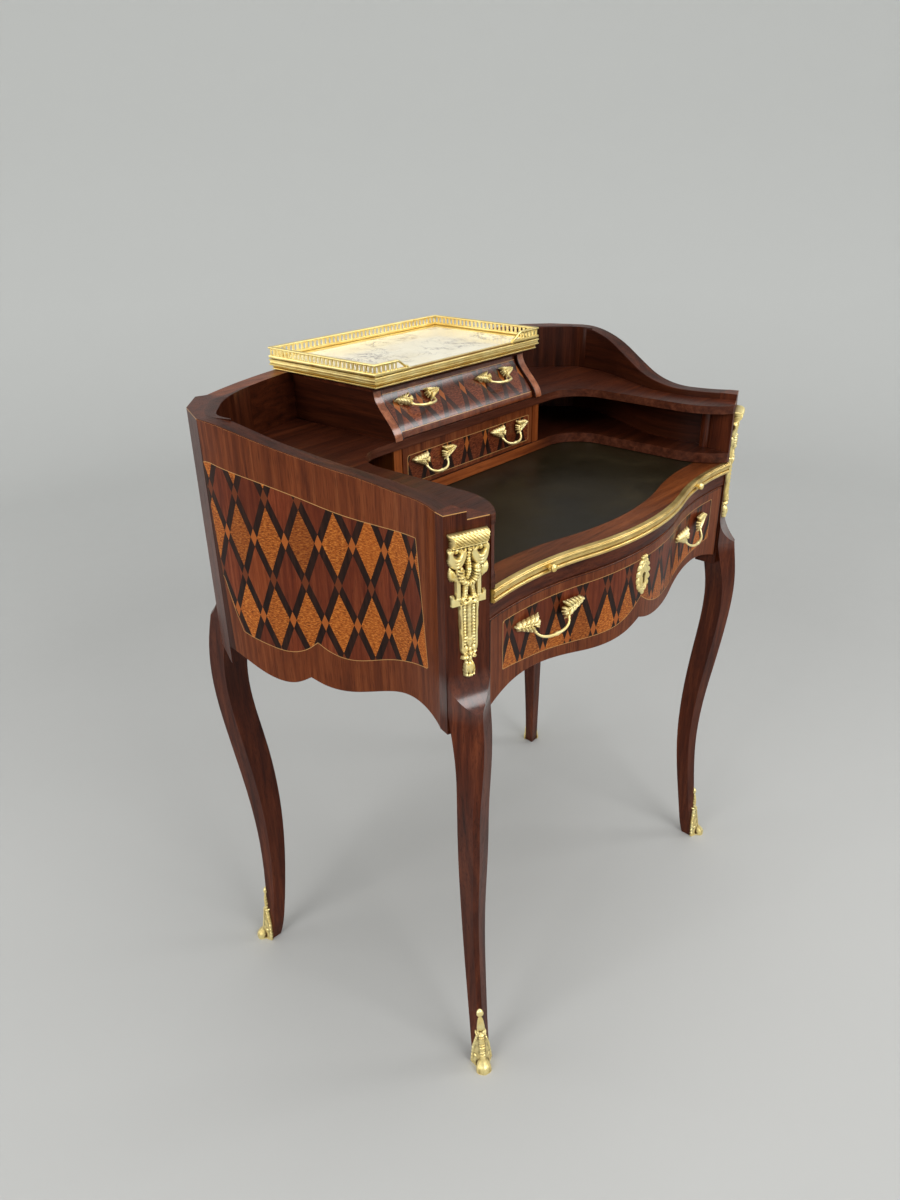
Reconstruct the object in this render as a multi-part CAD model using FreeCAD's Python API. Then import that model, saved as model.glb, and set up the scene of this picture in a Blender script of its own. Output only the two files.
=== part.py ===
import FreeCAD, Part
import math
import os

# Ladies writing desk with a horseshoe gallery. Millimetres, +Z up, front towards -Y.
# The origin lies on the floor under the middle of the desk.

Vector = FreeCAD.Vector

# Case heights, counted from the writing surface
WRITING_Z = 742.0
SHELF_RISE = 88.0        # shelf above the writing surface
ARM_RISE = 9.0           # top of the sides at the front, above the shelf
GALLERY_RISE = 69.0      # top of the back and of the raised part of the sides, above the shelf
KNEE_DROP = 138.0        # tips of the knees below the writing surface
BRACKET_DROP = 34.0      # lowest point of the brackets beside the legs, below the knees
BACK_APRON_DROP = 8.0    # lower edge of the back at its middle, below the knees
SHELF_TOP_Z = WRITING_Z + SHELF_RISE
ARM_Z = SHELF_TOP_Z + ARM_RISE
GALLERY_Z = SHELF_TOP_Z + GALLERY_RISE
KNEE_Z = WRITING_Z - KNEE_DROP
BRACKET_Z = KNEE_Z - BRACKET_DROP
BACK_APRON_Z = KNEE_Z - BACK_APRON_DROP

# Top edge of the sides
SWOOP_HIGH_Y = 106.0     # the top edge leaves the upper level here
SWOOP_LOW_Y = -144.0     # and reaches the lower level here
SWOOP_PULL = 0.33        # how long the curve stays level at each end

# Plan of the sides: a bulging arc behind, a hollow arc in front, a straight between them
PANEL_T = 24.0
BULGE_X = 404.0
BULGE_Y = 108.0
BULGE_R = 230.0
WAIST_X = 322.5
WAIST_Y = -134.5
WAIST_R = 142.0
SIDE_BACK_Y = 112.0      # the side panels end here, against the back stiles
SIDE_FRONT_Y = -200.0    # and here, against the front stiles
# Lower edge of the sides: Y and height over the knees, from the back to the cusp and on to the front
APRON_BACK_RISE = -8.0
APRON_BACK = [(86.0, -14.0), (37.0, -32.0), (7.0, -33.0)]
APRON_CUSP = (-10.5, -23.5)
APRON_FRONT = [(-26.0, -33.0), (-52.0, -39.0), (-90.0, -32.5), (-131.0, -23.0), (-167.0, -26.0)]

# Plan of the back: one wide arc
BACK_T = 28.0
BACK_Y = 276.0
BACK_R = 768.0
BACK_END_X = 326.0

# Plan of the front: a swell in the middle and a hollow at each end
FRONT_Y = -262.0
HOLLOW_X = 236.0
HOLLOW_Y = -229.0
OPENING_X = 290.0        # half the width between the front stiles

# Stiles and legs
STILE_W = 56.0           # width of the canted faces
FRONT_STILE_Y = -234.0   # inner edge of the front canted faces
FRONT_TURN = 20.0        # front faces turn outwards from the front by this many degrees
BACK_TURN = 45.0         # back faces turn outwards from the back
BACK_CORNER_X = 380.0    # outer edge of the back canted faces
BACK_CORNER_Y = 168.0
COVE_D = 6.0             # hollow of the rounded inner corners beside the back
KNEE_CHAMFER = 10.0
FOOT_CHAMFER = 6.0
SCOOP_R = 60.0           # hollow above the knee
FRONT_TWIST = 18.0       # the front legs turn further outwards below the knee
TWIST_SHARE = 0.78       # and have turned fully at this share of the knee's height
FRONT_DRIFT = 12.0       # the front feet stand this far inwards of their stiles
BACK_DRIFT = 14.0        # the back feet stand this far forwards of their stiles
LEG_NARROW = 0.82        # below the knee the section is this much narrower across its diagonal
# Leg profiles in the plane of the diagonal: share of the knee's height, outer edge, inner edge
FRONT_PROFILE = [
    (0.0, 29.0, 2.0),
    (0.083, 20.0, -8.0),
    (0.199, 12.0, -18.0),
    (0.339, 5.5, -27.5),
    (0.48, 8.5, -29.0),
    (0.646, 22.0, -21.5),
    (0.778, 31.5, -13.0),
    (0.869, 33.5, -12.5),
    (0.935, 30.5, -19.0),
    (1.0, 25.0, -26.0),
]
BACK_PROFILE = [
    (0.0, 4.6, -20.9),
    (0.083, -3.2, -31.7),
    (0.199, -7.3, -40.0),
    (0.339, -7.3, -46.4),
    (0.48, -0.3, -46.9),
    (0.646, 14.0, -37.5),
    (0.778, 24.3, -25.8),
    (0.869, 26.2, -25.3),
    (0.935, 22.8, -31.7),
    (1.0, 15.4, -39.5),
]

# Sabots
SABOT_T = 3.5
SABOT_LEAF_Z = 62.0
SABOT_HUSK_Z = 110.0
SABOT_HUSK_W = 9.0
SABOT_ROWS = 3           # rows of the leg profile under the foot casting
TOE_LENGTH = 20.0
TOE_H = 15.0

# Corner mounts on the front stiles
MOUNT_TOP_Z = ARM_Z - 22.0
MOUNT_CAP_H = 16.0
MOUNT_CAP_D = 10.0
MOUNT_CAP_W = 52.0
MOUNT_SWAG_H = 58.0
MOUNT_SWAG_W = 46.0
MOUNT_EAR_W = 42.0
MOUNT_EAR_H = 9.0
MOUNT_DROP_H = 60.0
MOUNT_DROP_W = 22.0
MOUNT_DROP_END_W = 17.6
MOUNT_ROSETTE_R = 10.0
MOUNT_BUD_H = 26.0
MOUNT_BUD_W = 15.0
MOUNT_T = 5.0
PIN_R = 1.2
PIN_HEAD_R = 2.2
PIN_HEAD_T = 1.0
PIN_L = 14.0

# Writing slide
SLIDE_T = 16.5
SLIDE_BACK_Y = 112.0
SLIDE_GAP = 1.5          # beside the slide and the frieze drawer front
LEATHER_T = 1.5
LEATHER_MARGIN = 34.0    # wooden border at the front and ends
MOULDING_D = 9.0
BEAD_COUNT = 3
KNOB_X = 184.0
KNOB_R = 5.0
KNOB_STEM_R = 2.2
KNOB_STEM_L = 4.0
KNOB_PLUG_L = 6.0

# Frieze
RAIL_H = 20.0
RAIL_D = 30.0
RUN_GAP = 0.3            # under sliding pieces
DRAWER_GAP = 1.0         # above drawer fronts
RAIL_TOP_Z = WRITING_Z - SLIDE_T - RUN_GAP
RAIL_LOW_Z = RAIL_TOP_Z - RAIL_H
FRIEZE_TOP_Z = RAIL_LOW_Z - DRAWER_GAP
FRIEZE_T = 20.0
FRIEZE_H = 118.0         # height of the frieze drawer's front at its ends
FRIEZE_EAR_Z = FRIEZE_TOP_Z - FRIEZE_H
FRIEZE_ARCH_Z = FRIEZE_EAR_Z + 16.0
FRIEZE_LOBE_Z = FRIEZE_EAR_Z + 2.0
FRIEZE_CUSP_Z = FRIEZE_EAR_Z + 14.0
FRIEZE_ARCH_X = 190.0
FRIEZE_LOBE_X = 78.0
FRIEZE_CUSP_DROP = 7.0   # the lower edge falls this far close to the cusp
FRIEZE_ARCH_DROP = 2.0   # and this far between arch and ear
FRIEZE_BOX_X = 268.0     # outer faces of the drawer sides
FRIEZE_SIDE_T = 11.0
FRIEZE_SIDE_H = 82.0
FRIEZE_HEADROOM = 10.0   # drawer sides below the top of the front
FRIEZE_SIDE_LOW_Z = FRIEZE_TOP_Z - FRIEZE_HEADROOM - FRIEZE_SIDE_H
FRIEZE_BACK_Y = 118.0
FRIEZE_BOTTOM_T = 6.0
FRIEZE_BOTTOM_UP = 5.0
RUNNER_H = 14.0
RUNNER_REACH = 16.0      # runner under the drawer side
GUIDE_H = 42.0
GUIDE_GAP = 1.0
GUIDE_X = 297.0
BEARER_X = 256.0
DUST_T = 6.0

# Lock of the frieze drawer
LOCK_W = 60.0
LOCK_D = 14.0
LOCK_TOP_Z = FRIEZE_TOP_Z - 4.0
LOCK_H = 58.0
BOLT_W = 14.0
BOLT_T = 6.0
BOLT_H = 26.0
BOLT_TRAVEL = 10.0
BOLT_GAP = 0.3
KEYHOLE_Z = FRIEZE_TOP_Z - 40.0
KEYHOLE_R = 3.0
KEYHOLE_SLOT_W = 3.0
KEYHOLE_SLOT_H = 9.0
SHIELD_W = 36.0
SHIELD_H = 58.0
SHIELD_T = 3.0

# Superstructure
SLIDE_HEADROOM = 1.0     # between the writing slide and the board above it
BASE_Z = WRITING_Z + SLIDE_HEADROOM
BASE_T = 15.0
SHELF_T = 12.0
EDGE_Y = 30.0            # straight front edge of both boards in the middle
EDGE_X = 250.0           # and of their wings
EDGE_R = 58.0
EDGE_FLARE_Y = -165.0    # the wings open outwards in front of this line
EDGE_END_X = 283.0
EDGE_END_Y = -236.0
POST_R = 9.0
POST_X = 297.0
CHEEK_IN = 5.0
CHEEK_BACK_IN = 4.0
CHEEK_BACK_Y = -205.0
CENTRE_X = 148.0         # half the width between the centre walls
WALL_T = 15.0
WALL_FRONT_Y = 33.0
CENTRE_TOP_T = 8.0
BOMBE_TOP_Y = 71.0       # the curved drawer front ends here under the tray
BOMBE_PULL = 0.36        # how long the curve stays upright at each end
BRACKET_LEAD = 5.0       # curved wall edges stand in front of the drawer front

# Small drawers
SMALL_GAP = 1.0
SMALL_FRONT_T = 16.0
SMALL_SIDE_T = 8.0
SMALL_BACK_Y = 205.0
SMALL_BOTTOM_T = 4.0
SMALL_BOTTOM_UP = 3.0
SMALL_HEADROOM = 6.0

# Tray
TRAY_X = 177.5
TRAY_FRONT_Y = 46.0
TRAY_BACK_Y = 263.0
FRAME_H = 18.5
FRAME_W = 13.0
FRAME_FOOT_H = 7.0
FRAME_FOOT_INSET = 4.0
MARBLE_T = 15.0
MARBLE_GAP = 0.3
RAILING_H = 13.5
RAILING_T = 2.5
RAILING_INSET = 1.5
RAILING_RETURN = 55.0
WINDOW_PITCH = 9.0
WINDOW_W = 5.0
WINDOW_LOW = 3.0
WINDOW_H = 7.0

# Handles: one-piece castings held by screws from inside
FRIEZE_HANDLE_X = 179.0
FRIEZE_HANDLE_Z = FRIEZE_TOP_Z - 38.0
FRIEZE_HANDLE_HALF = 64.0
SMALL_HANDLE_X = 85.0
SMALL_HANDLE_HALF = 46.0
UPPER_HANDLE_Z = SHELF_TOP_Z + 39.0
LOWER_HANDLE_Z = BASE_Z + BASE_T + 35.0
LEAF_LONG = 13.0
LEAF_WIDE = 9.0
LEAF_T = 4.5
LEAF_TILT = 25.0
LEAF_STANDOFF = 1.5
HANDLE_POST_R = 4.0
HANDLE_POST_L = 10.0
BAIL_R = 2.6
BAIL_OUT = 20.0
BAIL_DROP = 17.0
SCREW_R = 2.0
SCREW_HEAD_R = 4.5
SCREW_HEAD_T = 3.0


def plan(x, y):
    return Vector(x, y, 0)


def side_view(y, z):
    return Vector(0, y, z)


def front_view(x, z):
    return Vector(x, 0, z)


def segment(start, end):
    return Part.LineSegment(start, end).toShape()


def chain(points):
    return [segment(a, b) for a, b in zip(points, points[1:])]


def closed(points):
    return chain(points + points[:1])


def arc(start, through, end):
    return Part.Arc(start, through, end).toShape()


def bezier(poles):
    curve = Part.BezierCurve()
    curve.setPoles(poles)
    return curve.toShape()


def spline(points):
    curve = Part.BSplineCurve()
    curve.interpolate(points)
    return curve.toShape()


def swept_face(edges, travel):
    """Solid made by moving a flat outline along a straight line."""
    wire = Part.Wire(Part.__sortEdges__(edges))
    return Part.Face(wire).extrude(travel)


def upright(edges, low, high):
    """Solid standing on a plan outline between two heights."""
    solid = swept_face(edges, Vector(0, 0, high - low))
    solid.translate(Vector(0, 0, low))
    return solid


def across(edges, half):
    """Solid with a side-view outline, running from -half to half in X."""
    solid = swept_face(edges, Vector(2 * half, 0, 0))
    solid.translate(Vector(-half, 0, 0))
    return solid


def block(x0, x1, y0, y1, z0, z1):
    return Part.makeBox(x1 - x0, y1 - y0, z1 - z0, Vector(x0, y0, z0))


def other_side(shape):
    return shape.mirror(Vector(0, 0, 0), Vector(1, 0, 0))


def save(name, shape):
    shape.exportStep("parts/%s.step" % name)


def save_pair(name, left):
    save(name + "_left", left)
    save(name + "_right", other_side(left))


# Plan curves

BULGE_CENTRE = plan(BULGE_R - BULGE_X, BULGE_Y)
WAIST_CENTRE = plan(-WAIST_X - WAIST_R, WAIST_Y)
BACK_CENTRE = plan(0, BACK_Y - BACK_R)
FRONT_SWELL = HOLLOW_Y - FRONT_Y
FRONT_R = (HOLLOW_X ** 2 + FRONT_SWELL ** 2) / (4 * FRONT_SWELL)
TALL = 2 * GALLERY_Z


def bulge_point(y, inset):
    """Point of the left side's bulge at a given Y, inset from the outer face."""
    reach = math.sqrt((BULGE_R - inset) ** 2 - (y - BULGE_Y) ** 2)
    return plan(BULGE_CENTRE.x - reach, y)


def waist_point(y, inset):
    """Point of the left side's hollow at a given Y, inset from the outer face."""
    reach = math.sqrt((WAIST_R + inset) ** 2 - (y - WAIST_Y) ** 2)
    return plan(WAIST_CENTRE.x + reach, y)


def side_edges(inset):
    """Left side's plan curve from its back end to its front end."""
    between = WAIST_CENTRE - BULGE_CENTRE
    heading = math.atan2(between.y, between.x)
    turn = heading - math.acos((BULGE_R + WAIST_R) / between.Length)
    outward = plan(math.cos(turn), math.sin(turn))
    leave = BULGE_CENTRE + outward * (BULGE_R - inset)
    join = WAIST_CENTRE - outward * (WAIST_R + inset)
    waist_tip = plan(WAIST_CENTRE.x + WAIST_R + inset, WAIST_Y)
    return [
        arc(bulge_point(SIDE_BACK_Y, inset), bulge_point((SIDE_BACK_Y + leave.y) / 2, inset), leave),
        segment(leave, join),
        arc(join, waist_tip, waist_point(SIDE_FRONT_Y, inset)),
    ]


def back_point(x, inset):
    reach = math.sqrt((BACK_R - inset) ** 2 - x ** 2)
    return plan(x, BACK_CENTRE.y + reach)


def back_end(inset):
    """End of the back's plan curve on the left, square to the curve."""
    share = (BACK_R - inset) / BACK_R
    end = back_point(-BACK_END_X, 0)
    return BACK_CENTRE + (end - BACK_CENTRE) * share


def back_edge(inset):
    end = back_end(inset)
    return arc(end, plan(0, BACK_Y - inset), plan(-end.x, end.y))


def front_y(x):
    """Y of the drawer face at a given X."""
    x = abs(x)
    if x <= HOLLOW_X / 2:
        return FRONT_Y + FRONT_R - math.sqrt(FRONT_R ** 2 - x ** 2)
    return HOLLOW_Y - FRONT_R + math.sqrt(FRONT_R ** 2 - (x - HOLLOW_X) ** 2)


def front_point(x, shift):
    return plan(x, front_y(x) + shift)


def front_edges(half, shift):
    """Serpentine from -half to half, moved back by shift."""
    inner = HOLLOW_X / 2
    middle = (half + inner) / 2
    return [
        arc(front_point(-half, shift), front_point(-middle, shift), front_point(-inner, shift)),
        arc(front_point(-inner, shift), front_point(0, shift), front_point(inner, shift)),
        arc(front_point(inner, shift), front_point(middle, shift), front_point(half, shift)),
    ]


def front_band(half, near, far, low, high):
    """Upright board between two copies of the serpentine."""
    edges = front_edges(half, near) + front_edges(half, far)
    for x in (-half, half):
        edges.append(segment(front_point(x, near), front_point(x, far)))
    return upright(edges, low, high)


def behind_front(shape, half, shift):
    """The part of a shape that lies behind the serpentine moved back by shift."""
    reach = RAIL_D + FRIEZE_T - FRONT_Y
    return shape.cut(front_band(half, -reach, shift, 0, TALL))


def inside_back(shape):
    """The part of a shape in front of the back panel's inner face."""
    bound = Part.makeCylinder(BACK_R - BACK_T, TALL, BACK_CENTRE)
    return shape.common(bound)


# Stiles: plan points of the left ones

def turned(degrees):
    return plan(math.cos(math.radians(degrees)), math.sin(math.radians(degrees)))


FRONT_OUT = turned(270 - FRONT_TURN)
FRONT_ALONG = turned(-FRONT_TURN)
FRONT_INNER = plan(-OPENING_X, FRONT_STILE_Y)
FRONT_OUTER = FRONT_INNER - FRONT_ALONG * STILE_W
FRONT_MIDDLE = (FRONT_INNER + FRONT_OUTER) * 0.5
BACK_OUT = turned(90 + BACK_TURN)
BACK_ALONG = turned(BACK_TURN)
BACK_OUTER = plan(-BACK_CORNER_X, BACK_CORNER_Y)
BACK_INNER = BACK_OUTER + BACK_ALONG * STILE_W
BACK_MIDDLE = (BACK_INNER + BACK_OUTER) * 0.5


def front_stile_outline():
    return closed([
        waist_point(SIDE_FRONT_Y, 0),
        FRONT_OUTER,
        FRONT_INNER,
        plan(-OPENING_X, SIDE_FRONT_Y),
    ])


def stile_step_outline():
    """Inner half of a front stile, cut down to the shelf beside it."""
    return closed([
        waist_point(SIDE_FRONT_Y, PANEL_T),
        FRONT_MIDDLE,
        FRONT_INNER,
        plan(-OPENING_X, SIDE_FRONT_Y),
    ])


def cove_edge():
    """Rounded inner corner between the side and the back."""
    side_end = bulge_point(SIDE_BACK_Y, PANEL_T)
    far_end = back_end(BACK_T)
    middle = (side_end + far_end) * 0.5 + BACK_OUT * COVE_D
    return arc(side_end, middle, far_end)


def back_stile_outline():
    edges = chain([
        bulge_point(SIDE_BACK_Y, PANEL_T),
        bulge_point(SIDE_BACK_Y, 0),
        BACK_OUTER,
        BACK_INNER,
        back_end(0),
        back_end(BACK_T),
    ])
    return edges + [cove_edge()]


# Legs: left ones

FRONT_LEG = {
    "middle": FRONT_MIDDLE,
    "facing": 270 - FRONT_TURN,
    "twist": -FRONT_TWIST,
    "drift": FRONT_DRIFT,
    "profile": FRONT_PROFILE,
}
BACK_LEG = {
    "middle": BACK_MIDDLE,
    "facing": 90 + BACK_TURN,
    "twist": 0.0,
    "drift": BACK_DRIFT,
    "profile": BACK_PROFILE,
}


def below_knee(z):
    """0 at the knee, growing to 1 where the leg has turned fully."""
    return min((1 - z / KNEE_Z) / (1 - TWIST_SHARE), 1.0)


def leg_axes(leg, z):
    """Middle, outward direction and crosswise direction of a leg at height z."""
    facing = leg["facing"]
    square_on = turned(facing + 90)
    middle = leg["middle"] + square_on * (leg["drift"] * (1 - z / KNEE_Z))
    facing = facing + leg["twist"] * below_knee(z)
    return middle, turned(facing), turned(facing + 90)


def leg_section(leg, z, outer, inner, grow):
    """Four-cornered section on its diagonal at height z, with the outer corner cut off."""
    middle, out, along = leg_axes(leg, z)
    chamfer = FOOT_CHAMFER + (KNEE_CHAMFER - FOOT_CHAMFER) * z / KNEE_Z
    half = (outer + chamfer / 2 - inner) / 2
    centre = inner + half
    reach = half * (1 - (1 - LEG_NARROW) * below_knee(z)) + grow
    tip = outer + grow
    flat = (chamfer + grow) / 2
    points = [
        middle + out * tip + along * flat,
        middle + out * centre + along * reach,
        middle + out * (inner - grow),
        middle + out * centre - along * reach,
        middle + out * tip - along * flat,
    ]
    return [point + Vector(0, 0, z) for point in points]


def leg_loft(leg, profile, grow=0.0):
    sections = []
    for share, outer, inner in profile:
        points = leg_section(leg, share * KNEE_Z, outer, inner, grow)
        sections.append(Part.makePolygon(points + points[:1]))
    return Part.makeLoft(sections, True, False)


def leg_and_stile(leg, stile_outline, top_z):
    """Leg, knee with the hollow above it and stile, worked from one piece of wood."""
    middle, out, along = leg_axes(leg, KNEE_Z)
    knee_out, knee_in = leg["profile"][-1][1:]
    scoop_h = math.sqrt(SCOOP_R ** 2 - (SCOOP_R - knee_out) ** 2)
    knee_points = leg_section(leg, KNEE_Z, knee_out, knee_in, 0.0)
    knee = swept_face(closed(knee_points), Vector(0, 0, scoop_h))
    start = middle + out * SCOOP_R - along * STILE_W + Vector(0, 0, KNEE_Z + scoop_h)
    knee = knee.cut(Part.makeCylinder(SCOOP_R, 2 * STILE_W, start, along))
    stile = upright(stile_outline, BRACKET_Z, top_z)
    return leg_loft(leg, leg["profile"]).fuse([knee, stile]).removeSplitter()


def leg_slab(leg, near, half, low, high):
    """Upright block on a leg's own axes, from near outwards and half to each side."""
    middle, out, along = leg_axes(leg, low)
    corners = [middle + out * near - along * half, middle + out * near + along * half]
    corners.append(corners[1] + out * STILE_W)
    corners.append(corners[0] + out * STILE_W)
    return upright(closed(corners), low, high)


def sabot(leg, leg_solid):
    """Foot casting: a leaf round the outer corner, a husk above it and a toe."""
    profile = leg["profile"][:SABOT_ROWS]
    shell = leg_loft(leg, profile, SABOT_T)
    middle, out, along = leg_axes(leg, 0)
    outer = profile[0][1]
    inner = profile[0][2]
    leaf = shell.common(leg_slab(leg, (outer + inner) / 2 - SABOT_T, STILE_W, 0, SABOT_LEAF_Z))
    husk_in = (profile[-1][1] + profile[-1][2]) / 2
    husk = shell.common(leg_slab(leg, husk_in, SABOT_HUSK_W / 2, SABOT_LEAF_Z - SABOT_T, SABOT_HUSK_Z))
    toe = Part.makeSphere(TOE_H)
    toe = toe.common(block(-TOE_H, TOE_H, -TOE_H, TOE_H, 0, TOE_H))
    toe.translate(middle + out * (outer + TOE_LENGTH - TOE_H))
    return leaf.fuse([husk, toe]).cut(leg_solid).removeSplitter()


# Case panels

def side_profile():
    """Side view of a side panel: swooping top edge and shaped apron."""
    swoop = (SWOOP_HIGH_Y - SWOOP_LOW_Y) * SWOOP_PULL
    top = [
        segment(side_view(SIDE_FRONT_Y, ARM_Z), side_view(SWOOP_LOW_Y, ARM_Z)),
        bezier([
            side_view(SWOOP_LOW_Y, ARM_Z),
            side_view(SWOOP_LOW_Y + swoop, ARM_Z),
            side_view(SWOOP_HIGH_Y - swoop, GALLERY_Z),
            side_view(SWOOP_HIGH_Y, GALLERY_Z),
        ]),
        segment(side_view(SWOOP_HIGH_Y, GALLERY_Z), side_view(SIDE_BACK_Y, GALLERY_Z)),
    ]
    cusp_y, cusp_rise = APRON_CUSP
    cusp = side_view(cusp_y, KNEE_Z + cusp_rise)
    back_curve = [side_view(SIDE_BACK_Y, KNEE_Z + APRON_BACK_RISE)]
    back_curve += [side_view(y, KNEE_Z + rise) for y, rise in APRON_BACK] + [cusp]
    front_curve = [cusp] + [side_view(y, KNEE_Z + rise) for y, rise in APRON_FRONT]
    front_curve.append(side_view(SIDE_FRONT_Y, BRACKET_Z))
    ends = [
        segment(side_view(SIDE_BACK_Y, GALLERY_Z), back_curve[0]),
        segment(front_curve[-1], side_view(SIDE_FRONT_Y, ARM_Z)),
    ]
    return top + ends + [spline(back_curve), spline(front_curve)]


def side_panel():
    edges = side_edges(0) + side_edges(PANEL_T)
    for y, point in ((SIDE_BACK_Y, bulge_point), (SIDE_FRONT_Y, waist_point)):
        edges.append(segment(point(y, 0), point(y, PANEL_T)))
    panel = upright(edges, 0, TALL)
    profile = across(side_profile(), 2 * BULGE_X)
    return panel.common(profile)


def back_panel():
    edges = [back_edge(0), back_edge(BACK_T)]
    for side in (-1, 1):
        outer = back_end(0)
        inner = back_end(BACK_T)
        edges.append(segment(plan(-side * outer.x, outer.y), plan(-side * inner.x, inner.y)))
    panel = upright(edges, BRACKET_Z, GALLERY_Z)
    arch = swept_face([
        arc(
            front_view(-BACK_END_X, BRACKET_Z),
            front_view(0, BACK_APRON_Z),
            front_view(BACK_END_X, BRACKET_Z),
        ),
        segment(front_view(BACK_END_X, BRACKET_Z), front_view(-BACK_END_X, BRACKET_Z)),
    ], Vector(0, 2 * BACK_Y, 0))
    return panel.cut(arch)


def board_outline():
    """Horseshoe outline shared by the base board and the shelf."""
    edges = [back_edge(BACK_T), segment(plan(-EDGE_X + EDGE_R, EDGE_Y), plan(EDGE_X - EDGE_R, EDGE_Y))]
    lean = EDGE_R * math.sqrt(0.5)
    corner = plan(-EDGE_X + EDGE_R - lean, EDGE_Y - EDGE_R + lean)
    flare = EDGE_END_X - EDGE_X
    run = EDGE_FLARE_Y - EDGE_END_Y
    flare_r = (flare ** 2 + run ** 2) / (2 * flare)
    half_run = run / 2
    half_flare = flare_r - math.sqrt(flare_r ** 2 - half_run ** 2)
    left = side_edges(PANEL_T) + [cove_edge()]
    left += chain([
        waist_point(SIDE_FRONT_Y, PANEL_T),
        plan(-OPENING_X, SIDE_FRONT_Y),
        plan(-OPENING_X, EDGE_END_Y),
        plan(-EDGE_END_X, EDGE_END_Y),
    ])
    left.append(arc(
        plan(-EDGE_END_X, EDGE_END_Y),
        plan(-EDGE_X - half_flare, EDGE_FLARE_Y - half_run),
        plan(-EDGE_X, EDGE_FLARE_Y),
    ))
    left.append(segment(plan(-EDGE_X, EDGE_FLARE_Y), plan(-EDGE_X, EDGE_Y - EDGE_R)))
    left.append(arc(plan(-EDGE_X, EDGE_Y - EDGE_R), corner, plan(-EDGE_X + EDGE_R, EDGE_Y)))
    return edges + left + [other_side(edge) for edge in left]


# Small drawers and centre unit

UPPER_LOW_Z = SHELF_TOP_Z
UPPER_HIGH_Z = GALLERY_Z - CENTRE_TOP_T
LOWER_LOW_Z = BASE_Z + BASE_T
LOWER_HIGH_Z = SHELF_TOP_Z - SHELF_T


def bombe_curve(shift):
    """Curved front in side view, upright at both ends, moved back by shift."""
    pull = (UPPER_HIGH_Z - UPPER_LOW_Z) * BOMBE_PULL
    return bezier([
        side_view(WALL_FRONT_Y + shift, UPPER_LOW_Z),
        side_view(WALL_FRONT_Y + shift, UPPER_LOW_Z + pull),
        side_view(BOMBE_TOP_Y + shift, UPPER_HIGH_Z - pull),
        side_view(BOMBE_TOP_Y + shift, UPPER_HIGH_Z),
    ])


def bombe_band(near, far, half):
    """Solid between two copies of the curved front."""
    edges = [bombe_curve(near), bombe_curve(far)]
    for z, y in ((UPPER_LOW_Z, WALL_FRONT_Y), (UPPER_HIGH_Z, BOMBE_TOP_Y)):
        edges.append(segment(side_view(y + near, z), side_view(y + far, z)))
    return across(edges, half)


def bombe_point(z):
    """Point of the curved front at height z, and the direction up along it."""
    curve = bombe_curve(0)
    level = curve.distToShape(segment(side_view(-BACK_Y, z), side_view(BACK_Y, z)))[1][0][0]
    u = curve.Curve.parameter(level)
    tangent = curve.Curve.tangent(u)[0]
    return level, tangent


def small_drawer(low, high, bombe):
    """Front, sides, back and bottom of one of the two small drawers."""
    half = CENTRE_X - SMALL_GAP
    floor = low + RUN_GAP
    top = high - SMALL_GAP
    front = block(-half, half, WALL_FRONT_Y, WALL_FRONT_Y + SMALL_FRONT_T, floor, top)
    trim = block(-half, half, -BACK_Y, WALL_FRONT_Y + SMALL_FRONT_T, low, high)
    if bombe:
        level = block(-half, half, -BACK_Y, BACK_Y, floor, top)
        front = bombe_band(0, SMALL_FRONT_T, half).common(level)
        trim = bombe_band(-BACK_Y, SMALL_FRONT_T, half)
    side_top = top - SMALL_HEADROOM
    inner = half - SMALL_SIDE_T
    side = block(-half, -inner, WALL_FRONT_Y, SMALL_BACK_Y, floor, side_top).cut(trim)
    back = block(-inner, inner, SMALL_BACK_Y - SMALL_SIDE_T, SMALL_BACK_Y, floor, side_top)
    panel_z = floor + SMALL_BOTTOM_UP
    bottom = block(-inner, inner, WALL_FRONT_Y, SMALL_BACK_Y - SMALL_SIDE_T, panel_z, panel_z + SMALL_BOTTOM_T)
    bottom = bottom.cut(trim)
    return front, side, back, bottom


def centre_wall(low, high):
    wall = block(-CENTRE_X - WALL_T, -CENTRE_X, WALL_FRONT_Y, BACK_Y, low, high)
    return inside_back(wall)


def bracket_wall():
    """Centre wall above the shelf, with the curved front edge."""
    wall = block(-CENTRE_X - WALL_T, -CENTRE_X, -BACK_Y, BACK_Y, UPPER_LOW_Z, UPPER_HIGH_Z)
    return inside_back(wall.cut(bombe_band(-2 * BACK_Y, -BRACKET_LEAD, 2 * CENTRE_X)))


# Handles

def placed(shape, origin, across_dir, out_dir, up_dir):
    """Move a shape from its own axes (across, out, up) to a place on the desk."""
    matrix = FreeCAD.Matrix(
        across_dir.x, out_dir.x, up_dir.x, origin.x,
        across_dir.y, out_dir.y, up_dir.y, origin.y,
        across_dir.z, out_dir.z, up_dir.z, origin.z,
        0, 0, 0, 1,
    )
    return shape.transformed(matrix)


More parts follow.
